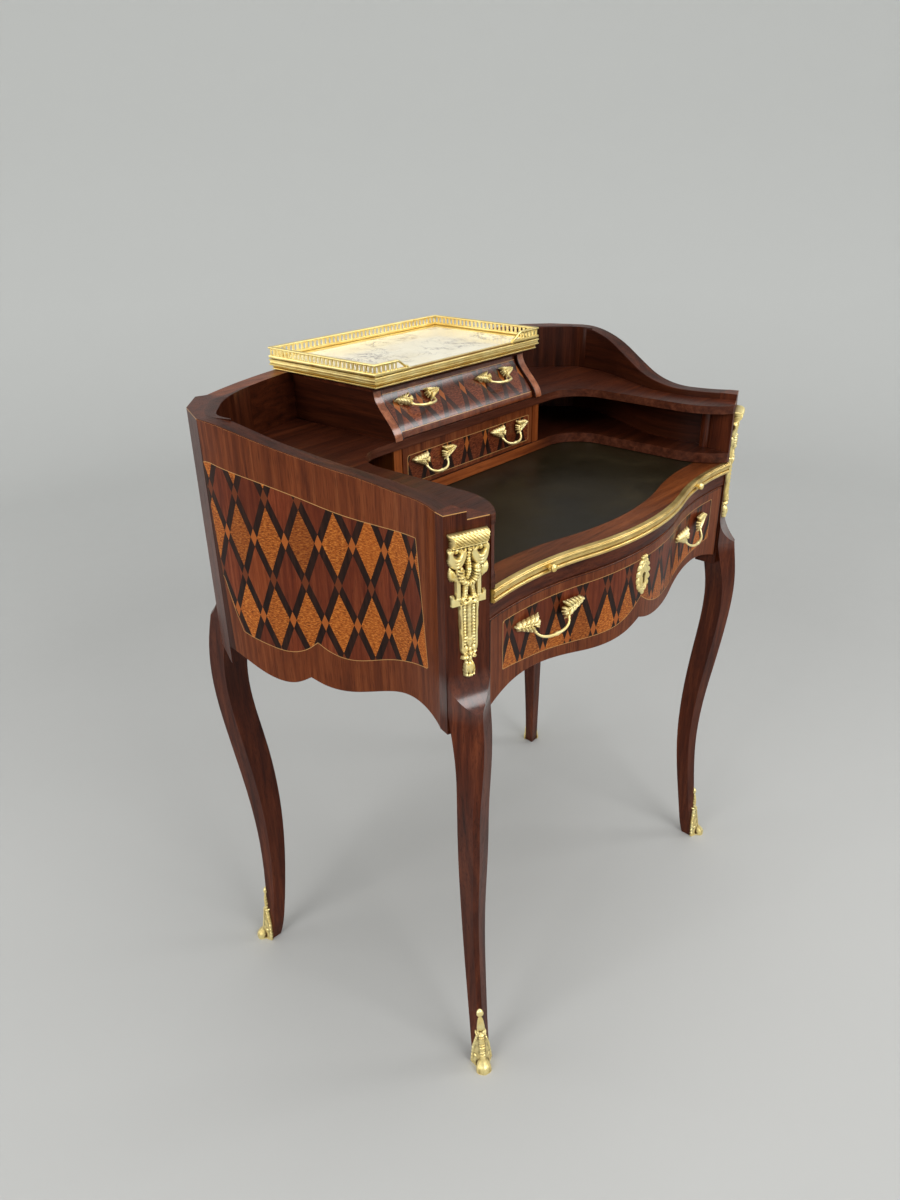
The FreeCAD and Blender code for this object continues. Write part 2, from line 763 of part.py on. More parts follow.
def handle_shape(half):
    """Casting in its own axes: two leaves on posts and a bail between them."""
    post_x = half - LEAF_LONG
    pieces = []
    for side in (-1, 1):
        post = Part.makeCylinder(HANDLE_POST_R, HANDLE_POST_L, Vector(side * post_x, 0, 0), Vector(0, 1, 0))
        centre = Vector(side * post_x, LEAF_STANDOFF, 0)
        outline = Part.Ellipse(Vector(0, 0, 0), LEAF_LONG, LEAF_WIDE).toShape()
        leaf = Part.Face(Part.Wire(outline)).extrude(Vector(0, 0, -LEAF_T))
        leaf.rotate(Vector(0, 0, 0), Vector(1, 0, 0), 90)
        leaf.rotate(Vector(0, 0, 0), Vector(0, 1, 0), -side * LEAF_TILT)
        leaf.translate(centre)
        pieces += [post, leaf]
    end_y = HANDLE_POST_L - BAIL_R
    start = Vector(-post_x, end_y, 0)
    path = Part.Wire([arc(start, Vector(0, BAIL_OUT, -BAIL_DROP), Vector(post_x, end_y, 0))])
    tangent = path.Edges[0].tangentAt(path.Edges[0].FirstParameter)
    ring = Part.Wire([Part.makeCircle(BAIL_R, start, tangent)])
    bail = path.makePipeShell([ring], True, False)
    return pieces[0].fuse(pieces[1:] + [bail])


def handle_screw(thickness):
    """Screw in its own axes: shank through a board of that thickness, head behind it."""
    shank = Part.makeCylinder(SCREW_R, thickness, Vector(0, -thickness, 0), Vector(0, 1, 0))
    head_start = Vector(0, -thickness - SCREW_HEAD_T, 0)
    head = Part.makeCylinder(SCREW_HEAD_R, SCREW_HEAD_T, head_start, Vector(0, 1, 0))
    return shank.fuse(head)


def handle_set(half, thickness, origin, across_dir, out_dir, up_dir):
    """Handle, its two screws and the holes they need in the drawer front."""
    handle = placed(handle_shape(half), origin, across_dir, out_dir, up_dir)
    screws = []
    holes = []
    for side in (-1, 1):
        at = origin + across_dir * (side * (half - LEAF_LONG))
        screws.append(placed(handle_screw(thickness), at, across_dir, out_dir, up_dir))
        holes.append(Part.makeCylinder(SCREW_R, 3 * thickness, at + out_dir * thickness, out_dir * -1))
    return handle, screws, holes


# Writing slide

def slide_pieces():
    low = WRITING_Z - SLIDE_T
    half = OPENING_X - SLIDE_GAP
    board = block(-half, half, 2 * FRONT_Y, SLIDE_BACK_Y, low, WRITING_Z)
    board = behind_front(board, OPENING_X, 0)
    skin = block(
        -half + LEATHER_MARGIN, half - LEATHER_MARGIN, 2 * FRONT_Y, SLIDE_BACK_Y,
        WRITING_Z - LEATHER_T, WRITING_Z,
    )
    skin = behind_front(skin, OPENING_X, LEATHER_MARGIN)
    moulding = reeded_moulding(half, low)
    knobs = []
    for side in (-1, 1):
        knob, plug = slide_knob(side * KNOB_X, low + SLIDE_T / 2)
        knobs.append(knob)
        moulding = moulding.cut(plug)
        board = board.cut(plug)
    return board.cut(skin), skin, moulding, Part.makeCompound(knobs)


def reeded_moulding(half, low):
    """Brass band along the slide's front edge, with round beads one above another."""
    bead = SLIDE_T / BEAD_COUNT
    web = MOULDING_D - bead / 2
    points = [Vector(-half, front_y(half), low), Vector(-half, front_y(half) - web, low)]
    edges = [segment(points[0], points[1])]
    for count in range(BEAD_COUNT):
        foot = points[1] + Vector(0, 0, count * bead)
        belly = foot + Vector(0, -bead / 2, bead / 2)
        edges.append(arc(foot, belly, foot + Vector(0, 0, bead)))
    top = Vector(0, 0, SLIDE_T)
    edges.append(segment(points[1] + top, points[0] + top))
    edges.append(segment(points[0] + top, points[0]))
    face = Part.Face(Part.Wire(Part.__sortEdges__(edges)))
    path = Part.Wire(front_edges(half, 0))
    path.translate(Vector(0, 0, low))
    swept = path.makePipeShell([face.OuterWire], True, True)
    return swept


def slide_knob(x, z):
    y = front_y(x) - MOULDING_D
    stem = Part.makeCylinder(KNOB_STEM_R, KNOB_STEM_L + MOULDING_D + KNOB_PLUG_L,
                             Vector(x, y - KNOB_STEM_L, z), Vector(0, 1, 0))
    ball = Part.makeSphere(KNOB_R, Vector(x, y - KNOB_STEM_L - KNOB_R / 2, z))
    return stem.fuse(ball), stem


# Frieze drawer and its lock

def frieze_underside():
    """Space under the frieze drawer: ears, arches, lobes and a middle cusp, in front view."""
    half = OPENING_X
    right = [
        front_view(0, FRIEZE_CUSP_Z),
        front_view(FRIEZE_LOBE_X / 4, FRIEZE_CUSP_Z - FRIEZE_CUSP_DROP),
        front_view(FRIEZE_LOBE_X, FRIEZE_LOBE_Z),
        front_view((FRIEZE_LOBE_X + FRIEZE_ARCH_X) / 2, (FRIEZE_LOBE_Z + FRIEZE_ARCH_Z) / 2),
        front_view(FRIEZE_ARCH_X, FRIEZE_ARCH_Z),
        front_view((FRIEZE_ARCH_X + half) / 2, FRIEZE_ARCH_Z - FRIEZE_ARCH_DROP),
        front_view(half, FRIEZE_EAR_Z),
    ]
    left = [front_view(-point.x, point.z) for point in right]
    edges = [spline(right), spline(left)]
    edges += chain([right[-1], front_view(half, 0), front_view(-half, 0), left[-1]])
    space = swept_face(edges, Vector(0, 4 * BACK_Y, 0))
    space.translate(Vector(0, -2 * BACK_Y, 0))
    return space


def keyhole(depth_from, depth_to):
    hole = Part.makeCylinder(KEYHOLE_R, depth_to - depth_from, Vector(0, depth_from, KEYHOLE_Z), Vector(0, 1, 0))
    slot_w = KEYHOLE_SLOT_W / 2
    slot = block(-slot_w, slot_w, depth_from, depth_to, KEYHOLE_Z - KEYHOLE_SLOT_H, KEYHOLE_Z)
    return hole.fuse(slot)


def frieze_drawer():
    half = OPENING_X - SLIDE_GAP
    front = front_band(half, 0, FRIEZE_T, FRIEZE_EAR_Z - FRIEZE_T, FRIEZE_TOP_Z)
    front = front.cut(frieze_underside())
    front = front.cut(keyhole(FRONT_Y - FRIEZE_T, FRONT_Y + 2 * FRIEZE_T))
    side_top = FRIEZE_SIDE_LOW_Z + FRIEZE_SIDE_H
    inner = FRIEZE_BOX_X - FRIEZE_SIDE_T
    side = block(-FRIEZE_BOX_X, -inner, 2 * FRONT_Y, FRIEZE_BACK_Y, FRIEZE_SIDE_LOW_Z, side_top)
    side = behind_front(side, OPENING_X, FRIEZE_T)
    back = block(-inner, inner, FRIEZE_BACK_Y - FRIEZE_SIDE_T, FRIEZE_BACK_Y, FRIEZE_SIDE_LOW_Z, side_top)
    panel_z = FRIEZE_SIDE_LOW_Z + FRIEZE_BOTTOM_UP
    bottom = block(-inner, inner, 2 * FRONT_Y, FRIEZE_BACK_Y - FRIEZE_SIDE_T, panel_z, panel_z + FRIEZE_BOTTOM_T)
    bottom = behind_front(bottom, OPENING_X, FRIEZE_T)
    return front, side, back, bottom


LOCK_FRONT_Y = front_y(LOCK_W / 2) + FRIEZE_T
BOLT_Y = LOCK_FRONT_Y + LOCK_D / 2


def lock_pieces():
    """Lock case and bolt; the bolt stands drawn back, its top level with the case."""
    low = LOCK_TOP_Z - LOCK_H
    case = block(-LOCK_W / 2, LOCK_W / 2, LOCK_FRONT_Y, LOCK_FRONT_Y + LOCK_D, low, LOCK_TOP_Z)
    bolt_low = LOCK_TOP_Z - BOLT_H
    bolt = block(-BOLT_W / 2, BOLT_W / 2, BOLT_Y - BOLT_T / 2, BOLT_Y + BOLT_T / 2, bolt_low, LOCK_TOP_Z)
    slot = block(
        -BOLT_W / 2 - BOLT_GAP, BOLT_W / 2 + BOLT_GAP,
        BOLT_Y - BOLT_T / 2 - BOLT_GAP, BOLT_Y + BOLT_T / 2 + BOLT_GAP,
        bolt_low - BOLT_GAP, LOCK_TOP_Z + BOLT_H,
    )
    case = case.cut(slot).cut(keyhole(LOCK_FRONT_Y - LOCK_D, BOLT_Y))
    return case, bolt


def bolt_mortise():
    wide = BOLT_W / 2 + DRAWER_GAP
    thick = BOLT_T / 2 + DRAWER_GAP
    return block(-wide, wide, BOLT_Y - thick, BOLT_Y + thick, RAIL_LOW_Z - DRAWER_GAP,
                 LOCK_TOP_Z + BOLT_TRAVEL + DRAWER_GAP)


def escutcheon():
    outline = Part.Ellipse(Vector(0, 0, 0), SHIELD_H / 2, SHIELD_W / 2).toShape()
    shield = Part.Face(Part.Wire(outline)).extrude(Vector(0, 0, SHIELD_T))
    shield.rotate(Vector(0, 0, 0), Vector(0, 0, 1), 90)
    shield.rotate(Vector(0, 0, 0), Vector(1, 0, 0), 90)
    shield.translate(Vector(0, FRONT_Y, KEYHOLE_Z))
    return shield.cut(keyhole(FRONT_Y - 2 * SHIELD_T, FRONT_Y + SHIELD_T))


# Inner carcass

def drawer_runner():
    """Left runner and guide of the frieze drawer, one piece with a step."""
    top = FRIEZE_SIDE_LOW_Z - RUN_GAP
    low = top - RUNNER_H
    guide_x = FRIEZE_BOX_X + GUIDE_GAP
    runner = block(-guide_x, -FRIEZE_BOX_X + RUNNER_REACH, SIDE_FRONT_Y, BACK_Y, low, top)
    guide = block(-GUIDE_X, -guide_x, SIDE_FRONT_Y, BACK_Y, low, low + GUIDE_H)
    return inside_back(runner.fuse(guide).removeSplitter())


def slide_bearer():
    bearer = block(-GUIDE_X, -BEARER_X, SIDE_FRONT_Y, BACK_Y, RAIL_LOW_Z, RAIL_TOP_Z)
    bearer = behind_front(bearer, OPENING_X, RAIL_D)
    return inside_back(bearer)


def front_rail():
    rail = front_band(OPENING_X, 0, RAIL_D, RAIL_LOW_Z, RAIL_TOP_Z)
    return rail.cut(bolt_mortise())


def dust_panel():
    low = (RAIL_LOW_Z + RAIL_TOP_Z - DUST_T) / 2
    panel = block(-BEARER_X, BEARER_X, 2 * FRONT_Y, BACK_Y, low, low + DUST_T)
    panel = behind_front(panel, OPENING_X, RAIL_D)
    return inside_back(panel)


def compartment_post():
    y = SIDE_FRONT_Y + POST_R
    return Part.makeCylinder(POST_R, LOWER_HIGH_Z - LOWER_LOW_Z, Vector(-POST_X, y, LOWER_LOW_Z))


def compartment_cheek():
    outline = closed([
        plan(-OPENING_X, CHEEK_BACK_Y),
        plan(-OPENING_X, EDGE_END_Y),
        plan(-OPENING_X + CHEEK_IN, EDGE_END_Y),
        plan(-OPENING_X + CHEEK_BACK_IN, CHEEK_BACK_Y),
    ])
    return upright(outline, LOWER_LOW_Z, LOWER_HIGH_Z)


# Tray

def tray_slab(inset, low, high):
    return block(-TRAY_X + inset, TRAY_X - inset, TRAY_FRONT_Y + inset, TRAY_BACK_Y - inset, low, high)


def tray_frame():
    foot_top = GALLERY_Z + FRAME_FOOT_H
    top = GALLERY_Z + FRAME_H
    foot = tray_slab(FRAME_FOOT_INSET, GALLERY_Z, foot_top)
    band = tray_slab(0, foot_top, top)
    return foot.fuse(band).cut(tray_slab(FRAME_W, GALLERY_Z, top)).removeSplitter()


def marble_top():
    return tray_slab(FRAME_W + MARBLE_GAP, GALLERY_Z, GALLERY_Z + MARBLE_T)


def pierced_strip(length):
    """Strip of railing in its own axes: length along X, height along Z, windows in a row."""
    outer = Part.makePolygon([
        front_view(0, 0), front_view(length, 0),
        front_view(length, RAILING_H), front_view(0, RAILING_H), front_view(0, 0),
    ])
    wires = [outer]
    count = int((length - WINDOW_PITCH) / WINDOW_PITCH)
    margin = (length - count * WINDOW_PITCH) / 2
    for index in range(count):
        left = margin + (index + 0.5) * WINDOW_PITCH - WINDOW_W / 2
        right = left + WINDOW_W
        high = WINDOW_LOW + WINDOW_H
        wires.append(Part.makePolygon([
            front_view(left, WINDOW_LOW), front_view(right, WINDOW_LOW),
            front_view(right, high), front_view(left, high), front_view(left, WINDOW_LOW),
        ]))
    face = Part.makeFace(wires, "Part::FaceMakerBullseye")
    return face.extrude(Vector(0, RAILING_T, 0))


def tray_railing():
    low = GALLERY_Z + FRAME_H
    left = -TRAY_X + RAILING_INSET
    near = TRAY_FRONT_Y + RAILING_INSET
    far = TRAY_BACK_Y - RAILING_INSET
    strips = []
    back = pierced_strip(-2 * left)
    back.translate(Vector(left, far - RAILING_T, low))
    strips.append(back)
    side = pierced_strip(far - near)
    side.rotate(Vector(0, 0, 0), Vector(0, 0, 1), 90)
    side.translate(Vector(left + RAILING_T, near, low))
    front = pierced_strip(RAILING_RETURN)
    front.translate(Vector(left, near, low))
    for strip in (side, front):
        strips += [strip, other_side(strip)]
    return strips[0].fuse(strips[1:]).removeSplitter()


# Corner mounts

def mount_frame():
    """Axes of the left mount: across the canted face, out of it, up."""
    return FRONT_ALONG, FRONT_OUT, Vector(0, 0, 1)


def corner_mount():
    """Left mount in place: cap, swags, ears, tapered drop, rosette and bud."""
    cap_z = MOUNT_TOP_Z - MOUNT_CAP_H
    swag_z = cap_z - MOUNT_SWAG_H
    ear_z = swag_z - MOUNT_EAR_H
    drop_z = ear_z - MOUNT_DROP_H
    bud_z = drop_z - MOUNT_ROSETTE_R
    cap = block(-MOUNT_CAP_W / 2, MOUNT_CAP_W / 2, 0, MOUNT_CAP_D, cap_z, MOUNT_TOP_Z)
    swag_w = MOUNT_SWAG_W / 2
    drop_w = MOUNT_DROP_W / 2
    pull_z = cap_z - MOUNT_SWAG_H * 4 / 3
    swag = swept_face([
        bezier([
            front_view(-swag_w, cap_z), front_view(-swag_w, pull_z),
            front_view(swag_w, pull_z), front_view(swag_w, cap_z),
        ]),
        segment(front_view(swag_w, cap_z), front_view(-swag_w, cap_z)),
    ], Vector(0, MOUNT_T, 0))
    stem = block(-drop_w, drop_w, 0, MOUNT_T, ear_z, cap_z)
    ears = block(-MOUNT_EAR_W / 2, MOUNT_EAR_W / 2, 0, MOUNT_T, ear_z, ear_z + MOUNT_EAR_H)
    taper = MOUNT_DROP_END_W / 2
    drop = swept_face(closed([
        front_view(-drop_w, ear_z), front_view(drop_w, ear_z),
        front_view(taper, drop_z), front_view(-taper, drop_z),
    ]), Vector(0, MOUNT_T, 0))
    rosette = Part.makeCylinder(MOUNT_ROSETTE_R, MOUNT_T, Vector(0, 0, drop_z), Vector(0, 1, 0))
    bud_outline = Part.Ellipse(Vector(0, 0, 0), MOUNT_BUD_H / 2, MOUNT_BUD_W / 2).toShape()
    bud = Part.Face(Part.Wire(bud_outline)).extrude(Vector(0, 0, -MOUNT_T))
    bud.rotate(Vector(0, 0, 0), Vector(0, 0, 1), 90)
    bud.rotate(Vector(0, 0, 0), Vector(1, 0, 0), 90)
    bud.translate(Vector(0, 0, bud_z - MOUNT_BUD_H / 3))
    mount = cap.fuse([swag, stem, ears, drop, rosette, bud]).removeSplitter()
    pins = []
    for z in (ear_z + MOUNT_EAR_H / 2, drop_z):
        shank = Part.makeCylinder(PIN_R, PIN_L, Vector(0, MOUNT_T - PIN_L, z), Vector(0, 1, 0))
        head = Part.makeCylinder(PIN_HEAD_R, PIN_HEAD_T, Vector(0, MOUNT_T, z), Vector(0, 1, 0))
        pins.append(shank.fuse(head))
    along, out, up = mount_frame()
    mount = placed(mount, FRONT_MIDDLE, along, out, up)
    pins = [placed(pin, FRONT_MIDDLE, along, out, up) for pin in pins]
    return mount, pins


def cut_all(shape, tools):
    for tool in tools:
        shape = shape.cut(tool)
    return shape


# Build and write every piece

os.makedirs("parts", exist_ok=True)

mount, mount_pins = corner_mount()
front_leg = leg_and_stile(FRONT_LEG, front_stile_outline(), ARM_Z)
front_leg = front_leg.cut(upright(stile_step_outline(), SHELF_TOP_Z, ARM_Z))
back_leg = leg_and_stile(BACK_LEG, back_stile_outline(), GALLERY_Z)
save_pair("front_leg", cut_all(front_leg, mount_pins))
save_pair("back_leg", back_leg)
save_pair("front_sabot", sabot(FRONT_LEG, front_leg))
save_pair("back_sabot", sabot(BACK_LEG, back_leg))
save_pair("corner_mount", cut_all(mount, mount_pins + [front_leg]))
save("corner_mount_pins", Part.makeCompound(mount_pins + [other_side(pin) for pin in mount_pins]))

save_pair("side_panel", side_panel())
save("back_panel", back_panel())
save("front_rail", front_rail())
save_pair("slide_bearer", slide_bearer())
save_pair("drawer_runner", drawer_runner())
save("dust_panel", dust_panel())

save("base_board", upright(board_outline(), BASE_Z, BASE_Z + BASE_T))
save("shelf_board", upright(board_outline(), SHELF_TOP_Z - SHELF_T, SHELF_TOP_Z))
save_pair("compartment_post", compartment_post())
save_pair("compartment_cheek", compartment_cheek())
save_pair("centre_wall", centre_wall(LOWER_LOW_Z, LOWER_HIGH_Z))
save_pair("bracket_wall", bracket_wall())
centre_top = block(-CENTRE_X - WALL_T, CENTRE_X + WALL_T, BOMBE_TOP_Y - BRACKET_LEAD, BACK_Y, UPPER_HIGH_Z, GALLERY_Z)
save("centre_top", inside_back(centre_top))
save("tray_frame", tray_frame())
save("marble_top", marble_top())
save("tray_railing", tray_railing())

slide_board, leather, moulding, knobs = slide_pieces()
save("slide_board", slide_board)
save("slide_leather", leather)
save("slide_moulding", moulding)
save("slide_knobs", knobs)

frieze_front, frieze_side, frieze_back, frieze_bottom = frieze_drawer()
frieze_screws = []
frieze_handles = []
for side in (-1, 1):
    post_gap = FRIEZE_HANDLE_HALF - LEAF_LONG
    near_post = front_point(side * (FRIEZE_HANDLE_X - post_gap), 0)
    far_post = front_point(side * (FRIEZE_HANDLE_X + post_gap), 0)
    chord = (far_post - near_post) * side
    along = chord.normalize()
    outward = Vector(along.y, -along.x, 0)
    middle = (near_post + far_post) * 0.5 + Vector(0, 0, FRIEZE_HANDLE_Z)
    handle, screws, holes = handle_set(FRIEZE_HANDLE_HALF, FRIEZE_T, middle, along, outward, Vector(0, 0, 1))
    frieze_handles.append(handle.cut(frieze_front))
    frieze_front = cut_all(frieze_front, holes + screws)
    frieze_screws += screws
lock_case, lock_bolt = lock_pieces()
save("frieze_front", frieze_front)
save_pair("frieze_side", frieze_side)
save("frieze_back", frieze_back)
save("frieze_bottom", frieze_bottom)
save("frieze_handles", Part.makeCompound(frieze_handles))
save("frieze_handle_screws", Part.makeCompound(frieze_screws))
save("escutcheon", escutcheon())
save("lock_case", lock_case)
save("lock_bolt", lock_bolt)

upper_point, upper_up = bombe_point(UPPER_HANDLE_Z)
lower_point = side_view(WALL_FRONT_Y, LOWER_HANDLE_Z)
small_drawers = (
    ("upper_drawer", UPPER_LOW_Z, UPPER_HIGH_Z, True, upper_point, upper_up),
    ("lower_drawer", LOWER_LOW_Z, LOWER_HIGH_Z, False, lower_point, Vector(0, 0, 1)),
)
for name, low, high, bombe, point, up in small_drawers:
    front, side_piece, back, bottom = small_drawer(low, high, bombe)
    handles = []
    screws = []
    outward = Vector(0, -up.z, up.y)
    for side in (-1, 1):
        at = point + Vector(side * SMALL_HANDLE_X, 0, 0)
        handle, pair, holes = handle_set(SMALL_HANDLE_HALF, SMALL_FRONT_T, at, Vector(1, 0, 0), outward, up)
        handles.append(handle.cut(front))
        screws += pair
        front = cut_all(front, holes + pair)
    save(name + "_front", front)
    save(name + "_sides", Part.makeCompound([side_piece, other_side(side_piece)]))
    save(name + "_back", back)
    save(name + "_bottom", bottom)
    save(name + "_handles", Part.makeCompound(handles))
    save(name + "_handle_screws", Part.makeCompound(screws))
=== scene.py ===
import math

import bmesh
import bpy
import numpy as np
from mathutils import Matrix


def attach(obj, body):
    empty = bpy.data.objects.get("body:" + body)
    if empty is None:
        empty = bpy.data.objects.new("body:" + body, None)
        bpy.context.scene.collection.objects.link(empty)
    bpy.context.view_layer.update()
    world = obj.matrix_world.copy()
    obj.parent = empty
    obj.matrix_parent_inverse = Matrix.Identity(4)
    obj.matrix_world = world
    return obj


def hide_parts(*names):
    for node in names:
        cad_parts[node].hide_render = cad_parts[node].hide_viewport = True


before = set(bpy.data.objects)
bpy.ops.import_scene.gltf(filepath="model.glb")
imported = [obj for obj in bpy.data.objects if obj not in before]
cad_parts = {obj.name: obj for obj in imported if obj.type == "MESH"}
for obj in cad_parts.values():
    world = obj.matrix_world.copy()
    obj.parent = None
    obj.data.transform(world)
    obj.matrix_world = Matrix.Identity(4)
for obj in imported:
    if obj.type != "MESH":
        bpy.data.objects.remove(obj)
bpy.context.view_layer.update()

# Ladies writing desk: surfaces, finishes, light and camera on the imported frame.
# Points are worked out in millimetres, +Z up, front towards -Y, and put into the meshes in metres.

MM = 0.001

# Sizes of the case: heights above the floor, and places in plan with X across and Y from front to back
ARM_Z = 839.0
GALLERY_Z = 899.0
SHELF_Z = 830.0
KNEE_Z = 604.0
FRIEZE_TOP_Z = 702.8
KEYHOLE_Z = 664.2
MOUNT_TOP_Z = 817.0
PANEL_T = 24.0
EASE = 0.8                           # flat that eases a board's edges
BULGE = (-174.0, 108.0, 230.0)       # centre and radius of the side's bulge
WAIST = (-464.5, -134.5, 142.0)      # centre and radius of the side's hollow
SIDE_BACK_Y = 112.0
SIDE_FRONT_Y = -200.0
STILE_MIDDLE = (-316.3, -224.4)      # middle of the left front stile
STILE_CANT = math.radians(20.0)      # turn of the stile's face away from the front
STEP_X = 316.0                       # place of the step in the stile's top
HALF_FRONT = 288.5                   # half the width between the stiles
FRONT_R = 430.2                      # radius of the serpentine's arcs
TURN_X = 118.0                       # where the serpentine's swell passes into its hollow
SWELL_Y = -262.0                     # foremost place of the swell
HOLLOW_Y = -229.0                    # rearmost place of the hollow
SMALL_FACE_Y = 33.0                  # face of the lower small drawer
TRAY_HALF = (177.5, 108.5)           # half sizes of the tray's frame
TRAY_Y = 154.5                       # middle of the tray


# Shapes: arrays of points and faces

def quads(rows, cols, round_rows=False, round_cols=False):
    """Faces of a grid of points: each cell joins four neighbours, and a round direction closes on itself."""
    i = np.arange(rows if round_rows else rows - 1)
    j = np.arange(cols if round_cols else cols - 1)
    i, j = (a.ravel() for a in np.meshgrid(i, j, indexing="ij"))
    i2, j2 = (i + 1) % rows, (j + 1) % cols
    return np.stack([i * cols + j, i2 * cols + j, i2 * cols + j2, i * cols + j2], 1)


def surface(grid, round_rows=False, round_cols=False, **marks):
    """A grid of points as a shape; marks are vectors that belong to its points."""
    rows, cols = grid.shape[:2]
    flat = {name: mark.reshape(rows * cols, -1) for name, mark in marks.items()}
    faces = quads(rows, cols, round_rows, round_cols)
    return {"points": grid.reshape(-1, 3), "faces": faces, "marks": flat}


def closed_tube(grid, **marks):
    """Tube with closed ends: a row is added at each end, drawn together at that end's middle, and takes its
    marks from the row beside it."""
    first, last = (np.broadcast_to(row.mean(0), row.shape)[None] for row in (grid[0], grid[-1]))
    longer = {name: np.concatenate([mark[:1], mark, mark[-1:]]) for name, mark in marks.items()}
    return surface(np.concatenate([first, grid, last]), round_cols=True, **longer)


def casting(front, back, keep, **marks):
    """Closed body between two grids of points, on the kept cells: front faces, back faces, and walls along
    every edge that belongs to one kept cell only."""
    rows, cols = front.shape[:2]
    count = rows * cols
    faces = quads(rows, cols)[keep.ravel()]
    edges = np.concatenate([faces[:, [k, (k + 1) % 4]] for k in range(4)])
    low, high = edges.min(1), edges.max(1)
    _, which, times = np.unique(low * count + high, return_inverse=True, return_counts=True)
    rim = edges[times[which] == 1]
    walls = np.stack([rim[:, 1], rim[:, 0], rim[:, 0] + count, rim[:, 1] + count], 1)
    flat = {name: np.tile(mark.reshape(count, -1), (2, 1)) for name, mark in marks.items()}
    points = np.concatenate([front.reshape(-1, 3), back.reshape(-1, 3)])
    return {"points": points, "faces": np.concatenate([faces, faces[:, ::-1] + count, walls]), "marks": flat}


def other_side(shape):
    """The same shape on the right: X changes its sign, and the faces turn round."""
    return {**shape, "points": shape["points"] * [-1, 1, 1], "faces": shape["faces"][:, ::-1]}


def closed_up(shape):
    """Points that lie together become one, a face that loses a corner by it becomes a triangle, and points
    without a face are left out."""
    keys = np.round(shape["points"] / 1e-3).astype(np.int64)
    _, first, back = np.unique(keys, axis=0, return_index=True, return_inverse=True)
    faces = back.ravel()[shape["faces"]]
    same = faces == np.roll(faces, 1, axis=1)
    opposite = (faces[:, 0] == faces[:, 2]) | (faces[:, 1] == faces[:, 3])
    whole = faces[(same.sum(1) == 0) & ~opposite]
    cut = same.sum(1) == 1
    triangles = faces[cut][~same[cut]].reshape(-1, 3)
    used, again = np.unique(np.concatenate([whole.ravel(), triangles.ravel()]), return_inverse=True)
    kept = first[used]
    marks = {name: mark[kept] for name, mark in shape["marks"].items()}
    return shape["points"][kept], again[:whole.size].reshape(-1, 4), again[whole.size:].reshape(-1, 3), marks


def piece(name, shapes, material, body, replaced=(), crease=35.0):
    """One object of the desk from its shapes, smooth apart from edges sharper than crease degrees. A mark
    that a shape does not have is zero there."""
    points, faces, total = [], [], 0
    marks = {key: [] for shape in shapes for key in shape["marks"]}
    for shape in shapes:
        own_points, whole, triangles, own_marks = closed_up(shape)
        points.append(own_points)
        faces += (whole + total).tolist() + (triangles + total).tolist()
        for key, parts in marks.items():
            parts.append(own_marks.get(key, np.zeros((len(own_points), 3))))
        total += len(own_points)
    mesh = bpy.data.meshes.new(name)
    mesh.from_pydata((np.concatenate(points) * MM).tolist(), [], faces)
    for key, parts in marks.items():
        attribute = mesh.attributes.new(key, "FLOAT_VECTOR", "POINT")
        attribute.data.foreach_set("vector", np.concatenate(parts).astype(np.float32).ravel())
    work = bmesh.new()
    work.from_mesh(mesh)
    bmesh.ops.recalc_face_normals(work, faces=work.faces)
    work.to_mesh(mesh)
    work.free()
    mesh.shade_smooth()
    mesh.set_sharp_from_angle(angle=math.radians(crease))
    mesh.materials.append(material)
    made = bpy.data.objects.new(name, mesh)
    bpy.context.scene.collection.objects.link(made)
    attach(made, body)
    if replaced:
        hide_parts(*replaced)


def pair(name, ending, shape, material, replaces=True, crease=35.0):
    """The left piece and the same piece on the right, both on the case; with replaces, each takes the place
    of the CAD node of its name."""
    for side, own in (("left", shape), ("right", other_side(shape))):
        cad_name = "%s_%s" % (name, side)
        piece(cad_name + ending, [own], material, "desk", [cad_name] if replaces else (), crease)


def smooth_curve(points, count):
    """Cubic curve through points, bending evenly from span to span: the slopes solve the equations that make
    its bending continuous, with chord lengths as the parameter."""
    p = np.array(points, float)
    t = np.concatenate([[0], np.cumsum(np.linalg.norm(np.diff(p, axis=0), axis=1))])
    h = np.diff(t)
    n = len(p)
    system, right = np.zeros((n, n)), np.zeros((n, p.shape[1]))
    rise = np.diff(p, axis=0) / h[:, None]
    k = np.arange(1, n - 1)
    system[k, k - 1], system[k, k], system[k, k + 1] = 1 / h[:-1], 2 / h[:-1] + 2 / h[1:], 1 / h[1:]
    right[k] = 3 * (rise[:-1] / h[:-1, None] + rise[1:] / h[1:, None])
    system[0, :2], system[-1, -2:] = (2, 1), (1, 2)
    right[0], right[-1] = 3 * rise[0], 3 * rise[-1]
    slope = np.linalg.solve(system, right)
    at = np.linspace(0, t[-1], count)
    span = np.clip(np.searchsorted(t, at, side="right") - 1, 0, n - 2)
    u = ((at - t[span]) / h[span])[:, None]
    step = h[span][:, None]
    return (p[span] * (1 + 2 * u) * (1 - u) ** 2 + slope[span] * step * u * (1 - u) ** 2
            + p[span + 1] * u ** 2 * (3 - 2 * u) + slope[span + 1] * step * u ** 2 * (u - 1))


def bezier(poles, count):
    """Cubic curve from its first pole to its last, drawn towards the two between."""
    a, b, c, d = (np.array(pole, float) for pole in poles)
    t = np.linspace(0, 1, count)[:, None]
    return a * (1 - t) ** 3 + 3 * b * t * (1 - t) ** 2 + 3 * c * t ** 2 * (1 - t) + d * t ** 3


def level_at(curve, x):
    """Height of a drawn curve over x; the curve's points may run either way."""
    order = np.argsort(curve[:, 0])
    return np.interp(x, curve[order, 0], curve[order, 1])


